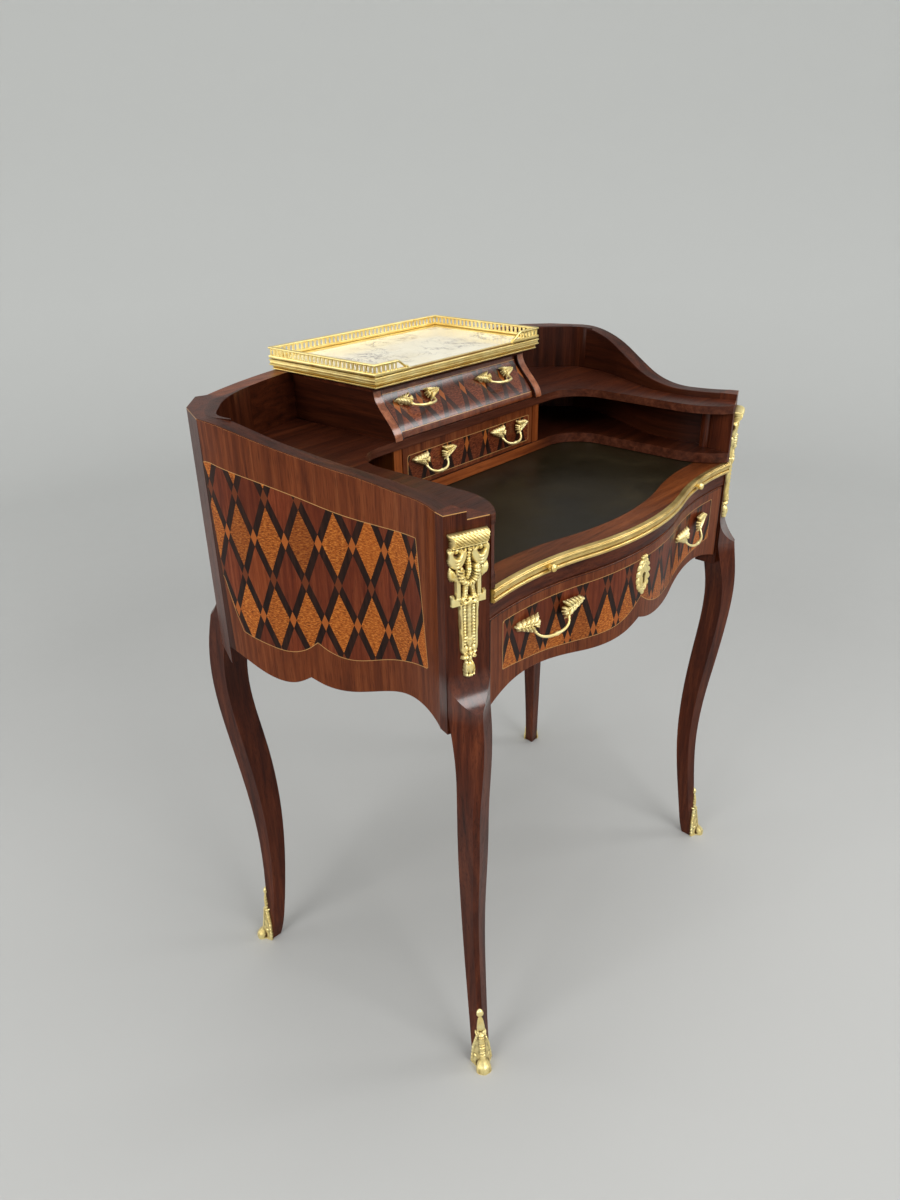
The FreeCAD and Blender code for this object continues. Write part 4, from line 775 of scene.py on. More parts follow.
def frieze_edge(x):
    """Lower edge of the frieze front: ear, arch, lobe and a cusp in the middle, the same on both sides."""
    half = smooth_curve([(0, 600.2), (19.5, 593.2), (78, 588.2), (134, 595.2), (190, 602.2), (240, 600.2),
                         (290, 586.2)], 160)
    return level_at(half, np.abs(x))


def level_line(z):
    """Straight level line across a drawer front."""
    return np.array([[-300.0, z], [300.0, z]])


def keyhole(u, v, radius, half_wide, half_tall):
    """Distance from a keyhole's outline, negative inside it: a round hole, and a slot with its middle 6 mm
    lower."""
    slot = np.maximum(np.abs(u) - half_wide, np.abs(v + 6) - half_tall)
    return np.minimum(np.hypot(u, v) - radius, slot)


def frieze_front():
    """Frieze drawer front: an upright section carried along the serpentine, with a shaped lower edge."""
    face_rows = 40
    half_wide = HALF_FRONT - 1.2
    x = np.concatenate([np.linspace(-half_wide, 0, 76), np.linspace(0, half_wide, 76)[1:]])
    depth, z = board_loop(frieze_edge(x), np.full(len(x), FRIEZE_TOP_Z), 20.0, (10.0,), face_rows, 8)
    across = np.broadcast_to(x[:, None], z.shape)
    grid = np.stack([across, front_y(across) + depth, z], -1)
    half = smooth_curve([(0, 633), (25, 617), (58, 608), (86, 608), (134, 612), (179, 617), (224, 621),
                         (259, 625), (280, 627)], 90)
    low_line = np.concatenate([half[::-1] * [-1, 1], half[1:]])
    inside = inner_distance(across, z, low_line, level_line(689.0), -260.0, 260.0)
    inside[:, face_rows:] = OUTSIDE
    lattice = lozenge_marks(across, z, 42.7, 55.5, -12.35, 619.0, inside)
    grain = np.stack([across, depth, z], -1) * MM
    # Distance from the front's top and ends, along which the veneer paints the shadow of the gap to the case.
    joint = np.minimum(FRIEZE_TOP_Z - z, half_wide - np.abs(across))
    # Keyhole's outline: the veneer paints the hole's shade inside it.
    hole = keyhole(across, z - KEYHOLE_Z, 4.4, 2.6, 6.4)
    edges = np.where((depth > 0.5)[..., None], FAR, np.stack([joint, hole, joint], -1))
    return closed_tube(grid, lattice=lattice, grain=grain, edges=edges)


def upper_face():
    """Face of the upper small drawer as depth and height: it curves back as it rises."""
    curve = bezier([(SMALL_FACE_Y, 830), (SMALL_FACE_Y, 851.96), (71, 869.04), (71, 891)], 400)
    return curve[(curve[:, 1] >= 830.3) & (curve[:, 1] <= 890)]


def lower_face():
    """Face of the lower small drawer as depth and height: upright."""
    return np.stack([np.full(200, SMALL_FACE_Y), np.linspace(758.3, 817, 200)], -1)


def small_front(curve, pitch, rise, start, field):
    """Front of a small drawer: a closed section with the curve as its face, carried across. The inlay follows
    the length along the face: start is a crossing of its lattice, and field its lower, upper and outer
    edge."""
    half_wide, thickness, ease = 146.2, 16.0, 0.6
    length = np.concatenate([[0], np.cumsum(np.linalg.norm(np.diff(curve, axis=0), axis=1))])
    at = np.linspace(ease, length[-1] - ease, 34)
    face = np.stack([np.interp(at, length, curve[:, 0]), np.interp(at, length, curve[:, 1])], -1)
    rear = face[::-1][::3] + [thickness, 0]
    over = np.array([[ease, 0], [thickness / 2, 0], [thickness - ease, 0]])
    loop = np.concatenate([face, curve[-1] + over, rear, curve[0] + over[::-1]])
    way = np.concatenate([at, np.full(len(loop) - len(face), length[-1])])
    across, depth = np.meshgrid(np.linspace(-half_wide, half_wide, 72), loop[:, 0], indexing="ij")
    z, up = np.broadcast_to(loop[:, 1], across.shape), np.broadcast_to(way, across.shape)
    low, high, reach = field
    inside = inner_distance(across, up, level_line(low), level_line(high), -reach, reach)
    inside[:, len(face):] = OUTSIDE
    lattice = lozenge_marks(across, up, pitch, rise, *start, inside)
    grain = np.stack([across, depth, up], -1) * MM
    return closed_tube(np.stack([across, depth, z], -1), lattice=lattice, grain=grain)


piece("frieze_front_veneered", [frieze_front()], frieze_veneer, "frieze_drawer",
      ["frieze_front"])
upper_front = small_front(upper_face(), 45.5, 55.0, (-37.3, 45.0), (9.0, 66.0, 160.0))
lower_front = small_front(lower_face(), 42.5, 60.0, (-12.4, 34.7), (6.2, 46.2, 137.0))
small_fronts = ("upper_drawer", upper_front, upper_veneer), ("lower_drawer", lower_front, lower_veneer)
for body, shape, material in small_fronts:
    piece(body + "_front_veneered", [shape], material, body, [body + "_front"])


# Slide moulding and knobs

def half_round(middle, level, radius, count):
    """Points of a round bead, from its lower edge to its upper edge: depth and height."""
    turn = np.linspace(-math.pi / 2, math.pi / 2, count)
    return np.stack([middle + radius * np.cos(turn), level + radius * np.sin(turn)], -1)


def slide_moulding():
    """Brass band: its section of beads, grooves and a flat, carried along the serpentine square to it."""
    x = np.linspace(-HALF_FRONT, HALF_FRONT, 120)
    y = front_y(x)
    slope = np.gradient(y, x)
    out = np.stack([slope, -np.ones_like(slope)], -1) / np.sqrt(1 + slope ** 2)[:, None]
    groove = 4.2
    section = np.concatenate([
        [[0.0, 725.6], [4.6, 725.6]],
        half_round(5.4, 728.2, 2.5, 9),
        [[groove, 730.9], [groove, 731.5], [5.9, 731.9], [6.4, 733.0]],
        [[6.4, 734.6], [5.9, 735.7], [groove, 736.1], [groove, 736.6]],
        half_round(6.2, 738.7, 2.0, 8),
        [[6.6, 740.8], [7.0, 741.3], [6.6, 741.8], [5.6, 742.0], [0.0, 742.0]],
    ])
    plan = np.stack([x, y], -1)[:, None] + out[:, None] * section[None, :, :1]
    grid = np.concatenate([plan, np.broadcast_to(section[:, 1:], (len(x), len(section), 1))], -1)
    # The grooves take the cavity mark, so the brass paints shade into them.
    dark = np.where(section[:, 0] == groove, 0.9, 0.0)
    return closed_tube(grid, cavity=np.broadcast_to(dark[None, :, None], grid.shape))


def turned(base, axis, profile, count=20):
    """Turned piece: the radii of a profile (radius, length) set round an axis at its lengths."""
    axis = np.array(axis, float) / np.linalg.norm(axis)
    aside = np.cross(axis, [0, 0, 1.0] if abs(axis[2]) < 0.9 else [1.0, 0, 0])
    aside /= np.linalg.norm(aside)
    third = np.cross(axis, aside)
    turn = np.linspace(0, 2 * math.pi, count, endpoint=False)
    ring = np.cos(turn)[:, None] * aside + np.sin(turn)[:, None] * third
    radii, lengths = np.array(profile, float).T
    grid = np.array(base, float) + lengths[:, None, None] * axis + radii[:, None, None] * ring
    return closed_tube(grid)


KNOB_X, KNOB_Z = 184.0, 733.75
KNOB_PROFILE = [
    (2.2, -6.0), (2.2, 5.6), (3.2, 5.8), (3.4, 6.8), (2.2, 7.2), (1.9, 8.6), (2.6, 9.2), (3.9, 9.9),
    (4.7, 11.0), (5.0, 12.4), (4.8, 13.8), (4.0, 15.2), (2.4, 16.2), (0.8, 16.5),
]
piece("slide_moulding_reeded", [slide_moulding()], moulding_brass, "writing_slide",
      ["slide_moulding"])
knobs = [turned((x, front_y(x), KNOB_Z), (0, -1, 0), KNOB_PROFILE) for x in (-KNOB_X, KNOB_X)]
piece("slide_knobs_turned", knobs, frame_brass, "writing_slide", ["slide_knobs"], crease=50)


# Tray frame and railing

def tray_frame():
    """Brass frame: a moulded section carried round the tray's rectangle, with mitred corners. It has a bead
    at the foot, a hollow, a flat between two reeds, and a groove under the railing."""
    section = np.array([
        (0, 899), (8.4, 899), (9.4, 899.3), (9.9, 900.0), (9.9, 900.8), (9.3, 901.5), (8.6, 901.7),
        (8.6, 902.3), (9.2, 903.4), (10.3, 904.4), (11.6, 905.0), (12.4, 905.5), (13.0, 906.2), (13.0, 907.0),
        (12.4, 907.6), (11.6, 907.8), (11.8, 908.5), (11.8, 910.7), (11.6, 911.4), (12.4, 911.6),
        (13.0, 912.2), (13.0, 913.0), (12.5, 913.7), (11.9, 914.0), (9.0, 914.0), (9.0, 915.2),
        (3.4, 915.2), (2.6, 915.0), (0.0, 915.0),
    ])
    # The grooves, the groove under the railing and the clefts beside the reeds take the cavity mark: painted
    # shade.
    grooves = np.isin(section[:, 0], [8.6, 9.0])
    beside_reeds = (section[:, 0] == 11.6) & (section[:, 1] > 907)
    dark = grooves * 1.0 + beside_reeds * 0.8
    inset = section[:, :1].max() - section[:, :1]
    corner = np.array([[-1, -1], [1, -1], [1, 1], [-1, 1]], float)
    plan = corner[:, None] * (np.array(TRAY_HALF) - inset)[None] + [0, TRAY_Y]
    grid = np.concatenate([plan, np.broadcast_to(section[:, 1:], (4, len(section), 1))], -1)
    cavity = np.broadcast_to(dark[None, :, None], grid.shape)
    return surface(grid, round_rows=True, round_cols=True, cavity=cavity)


piece("tray_frame_moulded", [tray_frame()], frame_brass, "desk", ["tray_frame"], crease=20)


def rail_bar(path, section):
    """Bar of the railing: a section (outwards, upwards) carried along a level path with mitred corners; each
    path point gives its place, and its outward step is square to the runs that meet there."""
    path = np.array(path, float)
    run = np.diff(path[:, :2], axis=0)
    run /= np.linalg.norm(run, axis=1)[:, None]
    square = np.stack([run[:, 1], -run[:, 0]], -1)
    first = np.concatenate([square[:1], square])
    second = np.concatenate([square, square[-1:]])
    out = (first + second) / (1 + (first * second).sum(1))[:, None]
    plan = path[:, None, :2] + out[:, None] * section[None, :, :1]
    z = path[:, None, 2:] + section[None, :, 1:]
    return closed_tube(np.concatenate([plan, z], -1))


def arch_cells(start, end, count, low, high, half_t):
    """Row of arched openings: each cell is a ring from its rectangle's outline to an opening with a round
    head, in three loops, front and back."""
    start, end = np.array(start, float), np.array(end, float)
    run = (end - start) / count
    pitch = np.linalg.norm(run)
    along = run / pitch
    out = np.array([along[1], -along[0]])
    turn = np.linspace(0, 2 * math.pi, 20, endpoint=False) + math.pi / 20
    c, s = np.cos(turn), np.sin(turn)
    box = np.maximum(np.abs(c) / (pitch / 2), np.abs(s) / ((high - low) / 2))
    outline = np.stack([c / box, s / box], -1)
    wide, tall = pitch * 0.25, (high - low) / 2 * 0.88
    power = np.where(s > 0, 2.0, 5.0)
    hole = ((np.abs(c) / wide) ** power + (np.abs(s) / tall) ** power) ** (-1 / power)
    opening = np.stack([c * hole, s * hole], -1)
    mid = opening * 0.45 + outline * 0.55
    loops = [(outline, 1.0), (mid, 1.25), (opening, 0.7), (opening, -0.7), (mid, -1.25), (outline, -1.0)]
    flat = np.stack([loop for loop, _ in loops])
    step = np.array([side for _, side in loops]) * half_t
    centre = start + run * (np.arange(count)[:, None] + 0.5)
    plan = centre[:, None, None] + along * flat[None, ..., :1] + out * step[None, :, None, None]
    z = np.broadcast_to((low + high) / 2 + flat[None, ..., 1:], (*plan.shape[:3], 1))
    grid = np.concatenate([plan, z], -1)
    return [surface(cell, round_rows=True, round_cols=True) for cell in grid]


def tray_railing():
    """Pierced railing: a plain band and an upper bar round three sides and a short way along the front,
    arched openings between them, and a falling scroll at each front end."""
    inset, low_z, high_z = 2.75, 915.1, 929.4
    x = TRAY_HALF[0] - inset
    near, far = TRAY_Y - TRAY_HALF[1] + inset, TRAY_Y + TRAY_HALF[1] - inset
    stop = x - 40.0
    turn = np.linspace(0, 2 * math.pi, 16, endpoint=False)
    c, s = np.cos(turn), np.sin(turn)
    low_bar = np.stack([2.3 * np.sign(c) * np.abs(c) ** 0.35, 2.2 + 2.2 * np.sign(s) * np.abs(s) ** 0.35], -1)
    high_bar = np.stack([2.4 * np.sign(c) * np.abs(c) ** 0.6, 1.6 * np.sign(s) * np.abs(s) ** 0.7], -1)
    t = np.linspace(0, 1, 12)[1:]
    fall = np.stack([-stop + 20 * t, np.full(11, near), high_z - 9.6 * (3 * t ** 2 - 2 * t ** 3)], -1)
    round_tray = [(-x, near), (-x, far), (x, far), (x, near)]
    upper_run = [(-stop, near), *round_tray, (stop, near)]
    lower_run = [(-stop + 22, near), *round_tray, (stop - 22, near)]
    upper = [*fall[::-1].tolist(), *((*at, high_z) for at in upper_run), *(fall * [-1, 1, 1]).tolist()]
    shapes = [rail_bar(upper, high_bar), rail_bar([(*at, low_z) for at in lower_run], low_bar)]
    runs = [((-x, far), (-x, near), 26), ((x, near), (x, far), 26), ((x, far), (-x, far), 42),
            ((-x, near), (-stop, near), 5), ((stop, near), (x, near), 5)]
    for start, end, count in runs:
        shapes += arch_cells(start, end, count, 918.8, 928.6, 0.9)
    return shapes


piece("tray_railing_pierced", tray_railing(), frame_brass, "desk", ["tray_railing"],
      crease=40)

# Cast ornament: heights over a flat drawing, worked out as the highest of many small forms

BURIED = -0.8            # a casting's edge dips this far into the wood


def own_axes(u, v, place, size, turn):
    """Place in a small form's own axes, as shares of its half sizes; turn is in degrees."""
    c, s = math.cos(math.radians(turn)), math.sin(math.radians(turn))
    du, dv = u - place[0], v - place[1]
    return (c * du + s * dv) / size[0], (c * dv - s * du) / size[1]


def rounded(r, height):
    """Round top over a share r from 0 in the middle to 1 at the outline; outside it falls away steeply."""
    return np.where(r < 1, height * np.sqrt(np.maximum(1 - r ** 2, 0)), (1 - r) * 4)


def dome(u, v, place, size, height, turn=0.0):
    """Rounded boss: the upper part of an ellipsoid."""
    return rounded(np.hypot(*own_axes(u, v, place, size, turn)), height)


def petal(u, v, place, size, height, turn=0.0):
    """Leaf seen from above: a boss with pointed ends and a groove along its middle."""
    along, aside = own_axes(u, v, place, size, turn)
    r = np.hypot(along, aside / np.maximum(1 - 0.55 * along ** 2, 0.2))
    groove = 0.25 * np.exp(-(aside / 0.16) ** 2)
    return rounded(r, height * (1 - groove))


def plate(u, v, left, right, low, high, height, slope=2.0):
    """Flat raised field with sloping edges; left and right may change with v."""
    inside = np.minimum(np.minimum(u - left, right - u), np.minimum(v - low, high - v))
    return np.minimum(height, inside * slope)


def cord_ridge(u, v, path, radius, height, beads=0.0):
    """Round ridge along a drawn path; beads swell it in even steps along its length."""
    path = np.array(path, float)
    gap = np.hypot(u[..., None] - path[:, 0], v[..., None] - path[:, 1])
    nearest = gap.argmin(-1)
    length = np.concatenate([[0], np.cumsum(np.linalg.norm(np.diff(path, axis=0), axis=1))])[nearest]
    swell = 1 - 0.3 * np.cos(np.pi * length / beads) ** 8 if beads else 1.0
    return rounded(gap.min(-1) / (radius * swell), height * swell)


def hollows(height):
    """How far each point lies below the mean of its neighbours, from 0 on open ground to 1 in a cleft."""
    wide = sum(np.roll(height, (i, j), (0, 1)) for i in (-3, 0, 3) for j in (-3, 0, 3)) / 9
    return np.clip((np.maximum(wide, 0) - height) / 1.3, 0, 1)


def relief(u, v, height, place, keep=None):
    """Closed casting over a drawing: place puts (u, v, height) on the wood; cells below the wood, or outside
    keep, are left out."""
    height = np.maximum(height, BURIED)
    front = place(u, v, height)
    back = place(u, v, np.full_like(height, BURIED - 0.2))
    highest = np.maximum.reduce([height[:-1, :-1], height[1:, :-1], height[:-1, 1:], height[1:, 1:]])
    shown = highest > BURIED + 0.05
    if keep is not None:
        shown = shown & keep[:-1, :-1]
    # The hollows become the cavity mark: painted shade, with patina, in the casting's clefts.
    return casting(front, back, shown, cavity=np.stack([hollows(height)] * 3, -1))


def drawing(half_width, low, high, step):
    """Even grid over a drawing."""
    u = np.linspace(-half_width, half_width, int(2 * half_width / step) + 1)
    v = np.linspace(low, high, int((high - low) / step) + 1)
    return np.meshgrid(u, v, indexing="ij")


# Corner mounts

def mount_height(u, v):
    """Corner mount from its top at v = 0 downwards: fluted cap, leaf valance, drapes with tassels, laurel
    wreath, two flat bars with ears, head, tapered drop with bead rows, rosette and bud. Bar, ear and hook are
    given by their inner and outer edge, foot, top and height."""
    bars = [(9.6, 15.8, -75, -30, 2.8), (10, 21.4, -83.6, -73.8, 3.2), (17.2, 21.4, -83.6, -70.4, 3.0)]
    forms = []
    u = u / np.interp(v, [-20, -14], [1.0, 0.92])
    flare = 23.8 + 2.4 * np.clip((v + 13) / 12, 0, 1) ** 2
    bulge = np.clip(1 - ((v + 6.2) / 7.0) ** 2, 0, 1)
    flutes = 1.5 * np.abs(np.sin((u + 1.3 * v) * 0.66))
    cap = np.minimum(3.4 + 4.6 * np.sqrt(bulge) + flutes, (flare - np.abs(u)) * 4)
    forms.append(np.where(bulge > 0, cap, -1))
    forms.append(plate(u, v, -26.2, 26.2, -2.0, 0.6, 7.0, 6.0))
    forms.append(plate(u, v, -23.6, 23.6, -15.6, -12.0, 6.2, 5.0))
    for k in range(9):
        forms.append(petal(u, v, (-20 + 5 * k, -18.6), (4.6, 2.7), 4.6, 90))
    for side in (-1, 1):
        for k, drop in enumerate((0.0, 4.6, 9.2)):
            swag = bezier([(side * 22.5, -18 - drop * 0.5), (side * 21, -31 - drop), (side * 10, -34 - drop),
                           (side * (6.5 - k), -20 - drop * 0.3)], 40)
            forms.append(cord_ridge(u, v, swag, 3.1, 5.6 - 0.5 * k))
        for k in range(3):
            tassel = (side * (21.4 - 2.1 * k), -45 - 1.2 * k)
            forms.append(petal(u, v, tassel, (8.2, 2.5), 4.4 - 0.4 * k, 84 * side + (6 * k - 6)))
        for near, far, low, high, height in bars:
            left, right = sorted((side * near, side * far))
            forms.append(plate(u, v, left, right, low, high, height, 4.0))
    wreath = bezier([(-9.5, -40), (-13, -64), (13, -64), (9.5, -40)], 60)
    forms.append(cord_ridge(u, v, wreath, 4.4, 6.4, beads=3.6))
    stem = bezier([(1.5, -18), (-5.5, -28), (4, -38), (-2.5, -50)], 50)
    forms.append(cord_ridge(u, v, stem, 3.2, 5.6, beads=3.2))
    for k in range(5):
        for side in (-1, 1):
            leaf = (side * (3.6 + 0.5 * k), -60 - 3.2 * k)
            forms.append(petal(u, v, leaf, (5.0, 2.4), 5.2, 90 + side * 38))
    forms.append(plate(u, v, -10.4, 10.4, -84, -74.5, 4.4, 3.0))
    for side in (-1, 1):
        curl = np.hypot(u - side * 6.0, v + 77.0)
        forms.append(np.where(curl < 5.2, 4.6 + 1.1 * np.cos(curl * 2.3), (5.2 - curl) * 4))
    forms.append(dome(u, v, (0, -79), (8.4, 6.0), 6.0))
    half = 12.2 - 1.8 * (-83 - v) / 60
    drop = plate(u, v, -half, half, -141, -82, 3.4, 4.0)
    inner = np.clip((half - 3.0 - np.abs(u)) * 2, 0, 1) * np.clip((v + 136) * 0.8, 0, 1)
    rows = 1.5 * np.abs(np.sin(v * 0.82)) * np.exp(-((np.abs(u) - 5.6) / 1.6) ** 2)
    chain = 2.4 * np.exp(-(u / 2.1) ** 2) * (0.65 + 0.35 * np.abs(np.cos(v * 0.52)))
    forms.append(np.where(drop > 3.2, drop + inner * (rows + chain - 1.1), drop))
    for side in (-1, 1):
        forms.append(dome(u, v, (side * 5.0, -138.5), (4.2, 5.6), 4.8, side * 12))
        forms.append(petal(u, v, (side * 2.4, -128), (9.0, 2.4), 4.8, 90 - side * 8))
    for k in range(6):
        turn = 30 + 60 * k
        a = math.radians(turn)
        forms.append(petal(u, v, (5.6 * math.cos(a), -145.5 + 5.2 * math.sin(a)), (5.8, 3.2), 5.4, turn))
    forms.append(dome(u, v, (0, -144.2), (3.3, 3.3), 5.8))
    for k, (x, wide) in enumerate(((-4.4, 2.9), (4.4, 2.9), (0, 3.4))):
        forms.append(petal(u, v, (x * 0.9, -163.5), (11.2, wide), 5.4 + 0.8 * (k == 2), 90 + x * 1.6))
    for k in range(4):
        forms.append(dome(u, v, (-4.5 + 3 * k, -171.5 - 1.2 * (k in (1, 2))), (2.3, 2.6), 5.0))
    eyes = np.exp(-((np.abs(u) - 3.4) / 1.3) ** 2 - ((v + 77.5) / 1.3) ** 2)
    return np.maximum.reduce(forms) - 2.6 * eyes


def mount_place(u, v, height):
    """Left front stile: across its canted face, out of it, and up."""
    across = np.array([math.cos(STILE_CANT), -math.sin(STILE_CANT)])
    out = np.array([-math.sin(STILE_CANT), -math.cos(STILE_CANT)])
    at = np.array(STILE_MIDDLE) + u[..., None] * across + height[..., None] * out
    return np.concatenate([at, MOUNT_TOP_Z + v[..., None]], -1)


u, v = drawing(25.0, -176.0, 1.0, 0.72)
mount = relief(u, v, 1.4 * mount_height(u, v), mount_place)
pair("corner_mount", "_cast", mount, mount_gilt, crease=60)


# Foot castings

# Each row of a leg gives a height and how far its outer and inner corner stand out from its middle there
FRONT_LEG = {
    "middle": STILE_MIDDLE, "facing": 250.0, "twist": -18.0, "drift": 12.0,
    "rows": [(0, 29, 2), (50.1, 20, -8), (120.2, 12, -18), (204.8, 5.5, -27.5), (289.9, 8.5, -29)],
}
BACK_LEG = {
    "middle": (-360.2, 187.8), "facing": 135.0, "twist": 0.0, "drift": 14.0,
    "rows": [(0, 4.6, -20.9), (50.1, -3.2, -31.7), (120.2, -7.3, -40.0), (204.8, -7.3, -46.4),
             (289.9, -0.3, -46.9)],
}


def foot_place(leg):
    """Surface round a foot: the leg's four-cornered section at height v, its outer corner cut off, grown by
    height; u runs round it from the middle of the outer flat."""
    rows = smooth_curve(leg["rows"], 200)

    def place(u, v, height):
        """Points on the foot from the drawing's places and heights."""
        outer = np.interp(v, rows[:, 0], rows[:, 1])
        inner = np.interp(v, rows[:, 0], rows[:, 2])
        flat = (6 + 4 * v / KNEE_Z) / 2
        half = (outer + flat - inner) / 2
        centre = inner + half
        reach = half * 0.82
        side_length = np.hypot(reach - flat, outer - centre)
        size = np.abs(u)
        on_flat = np.minimum(size, flat)
        share = np.clip(size - flat, 0, None) / side_length
        tip, wide, edge = outer + height, reach + height, flat + height / 2
        across = np.where(size <= flat, on_flat * edge / flat, edge + share * (wide - edge))
        out = np.where(size <= flat, tip, tip + share * (centre - tip))
        across = np.sign(u) * across
        facing = math.radians(leg["facing"] + leg["twist"])
        outwards = np.array([math.cos(facing), math.sin(facing)])
        sideways = np.array([-math.sin(facing), math.cos(facing)])
        drift_way = math.radians(leg["facing"] + 90)
        drift = leg["drift"] * (1 - v / KNEE_Z)
        at = np.array(leg["middle"]) + drift[..., None] * [math.cos(drift_way), math.sin(drift_way)]
        at = at + out[..., None] * outwards + across[..., None] * sideways
        return np.concatenate([at, v[..., None]], -1)
    return place


def foot_height(u, v):
    """Foot casting from the floor up: flared toe, leaf with toothed edges, rib and bosses, a collar of small
    leaves, a ribbed husk and a round knob."""
    forms = []
    v = v / 0.94
    teeth = 1.5 * np.abs(np.sin(v * 0.55))
    half = np.interp(v, [0, 12, 34, 48, 60, 66], [19.0, 17.5, 13.5, 9.5, 5.0, 3.0]) + teeth
    inside = half - np.abs(u)
    leaf = np.minimum(3.0, inside * 1.6)
    veins = 0.3 * np.cos((np.abs(u) * 0.7 + v * 0.5) * 0.9)
    raised = leaf + veins + 0.8 * np.clip(inside / 12, 0, 1)
    forms.append(np.where((leaf > 2) & (v < 64), raised, np.where(v < 66, leaf, -1)))
    rib = np.stack([np.zeros(40), np.linspace(-4, 62, 40)], -1)
    forms.append(cord_ridge(u, v, rib, 3.4, 6.4, beads=4.6))
    up = np.linspace(4, 60, 40)
    edge = np.interp(up, [0, 34, 60], [17, 12.4, 5.4])
    for side in (-1, 1):
        forms.append(cord_ridge(u, v, np.stack([side * edge, up], -1), 2.2, 5.0, beads=3.6))
        forms.append(dome(u, v, (side * 9.5, 20), (3.6, 3.6), 5.6))
        for k in range(2):
            collar = (side * (3.2 + 2.2 * k), 66 - 4 * k)
            forms.append(petal(u, v, collar, (5.4, 2.2), 4.6, 90 - side * (26 + 22 * k)))
        forms.append(petal(u, v, (side * 2.6, 79), (13, 2.6), 4.4, 90 + side * 5))
    forms.append(petal(u, v, (0, 83), (17, 4.4), 5.0, 90))
    forms.append(dome(u, v, (0, 103), (4.6, 6.6), 4.8))
    toe_half = np.interp(v, [0, 9, 20], [9.0, 8.0, 5.0])
    rise = np.interp(v, [-5, 0, 5, 9, 13, 17, 22], [12.0, 12.5, 13.0, 12.0, 9.0, 6.5, 4.5])
    round_off = np.sqrt(np.clip(1 - (u / toe_half) ** 2, 0, 1))
    toe = rise * round_off * (1 + 0.09 * np.cos(u * 1.1))
    forms.append(np.where((np.abs(u) < toe_half) & (v < 24), toe, -1))
    return np.maximum.reduce(forms)


u, v = drawing(23.0, 0.0, 110.0, 0.8)
foot = foot_height(u, v)
for name, leg in (("front_sabot", FRONT_LEG), ("back_sabot", BACK_LEG)):
    pair(name, "_cast", relief(u, v, foot, foot_place(leg)), mount_gilt, crease=60)


# Keyhole plate

def frieze_place(u, v, height):
    """Front of the frieze drawer: across it, out of it, and up from the keyhole's middle."""
    return np.stack([u, front_y(u) - height, KEYHOLE_Z + v], -1)


def keyhole_plate():
    """Oval plate with a ring of curled leaves, a shell above, a pointed leaf below and an open keyhole."""
    u, v = drawing(18.2, -29.2, 29.2, 0.45)
    forms = [np.minimum(2.2, dome(u, v, (0, -1), (12.4, 21), 6.0))]
    ring = (np.hypot(u / 9.6, (v + 0.5) / 17) - 1) / 0.13
    forms.append(np.where(np.abs(ring) < 1, 3.2 * np.sqrt(np.maximum(1 - ring ** 2, 0)), -1))
    half_wide, half_tall = 13.2, 22.0
    for k in range(14):
        a = 2 * math.pi * (k + 0.5) / 14
        x, z = half_wide * math.cos(a), half_tall * math.sin(a)
        turn = math.degrees(math.atan2(half_tall * math.cos(a), -half_wide * math.sin(a)))
        lean = 24 if math.cos(a) > 0 else -24
        forms.append(petal(u, v, (x, z), (5.6, 3.2), 3.4, turn + lean))
        forms.append(dome(u, v, (x * 0.93, z * 0.93), (1.7, 1.7), 3.7))
    for k in range(5):
        turn = 90 + 26 * (k - 2)
        a = math.radians(turn)
        forms.append(petal(u, v, (4.2 * math.cos(a), 22.5 + 3.6 * math.sin(a)), (4.6, 2.0), 3.6, turn))
    forms.append(petal(u, v, (0, -24.5), (4.8, 3.4), 3.6, 90))
    return relief(u, v, np.maximum.reduce(forms), frieze_place, keyhole(u, v, 4.1, 2.3, 6.2) > 0)


piece("escutcheon_cast", [keyhole_plate()], mount_gilt, "frieze_drawer", ["escutcheon"],
      crease=60)


# Handles

def leaf_height(u, v, long, tall):
    """Leaf of a handle from its broad end at u = 0 to its tip: pairs of pointed leaflets that spread towards
    the broad end and grow shorter towards the tip, each with a small boss at its end, three leaflets across
    the broad end, and a beaded rib along the middle."""
    rib = np.stack([np.linspace(0.1, 0.92, 40) * long, np.zeros(40)], -1)
    forms = [cord_ridge(u, v, rib, 1.7, 5.0, beads=3.0)]
    for at in np.arange(5) / 5:
        reach = tall * (1 - 0.8 * at)
        size = (0.62 * reach + 1.6, 0.19 * tall)
        for side in (-1, 1):
            middle = ((0.22 + 0.74 * at) * long, side * 0.5 * reach)
            forms.append(petal(u, v, middle, size, 5.8 - 1.6 * at, 90 + side * 44))
            tip = (middle[0] - 0.3 * reach, side * 0.84 * reach)
            forms.append(dome(u, v, tip, (0.15 * tall, 0.15 * tall), 5.2 - 1.6 * at))
    for turn in (-30, 0, 30):
        a = math.radians(turn)
        middle = (0.1 * long - 1.4 * math.cos(a), 0.5 * tall * math.sin(a))
        forms.append(petal(u, v, middle, (0.36 * tall, 0.17 * tall), 6.0, -turn))
    return np.maximum.reduce(forms)


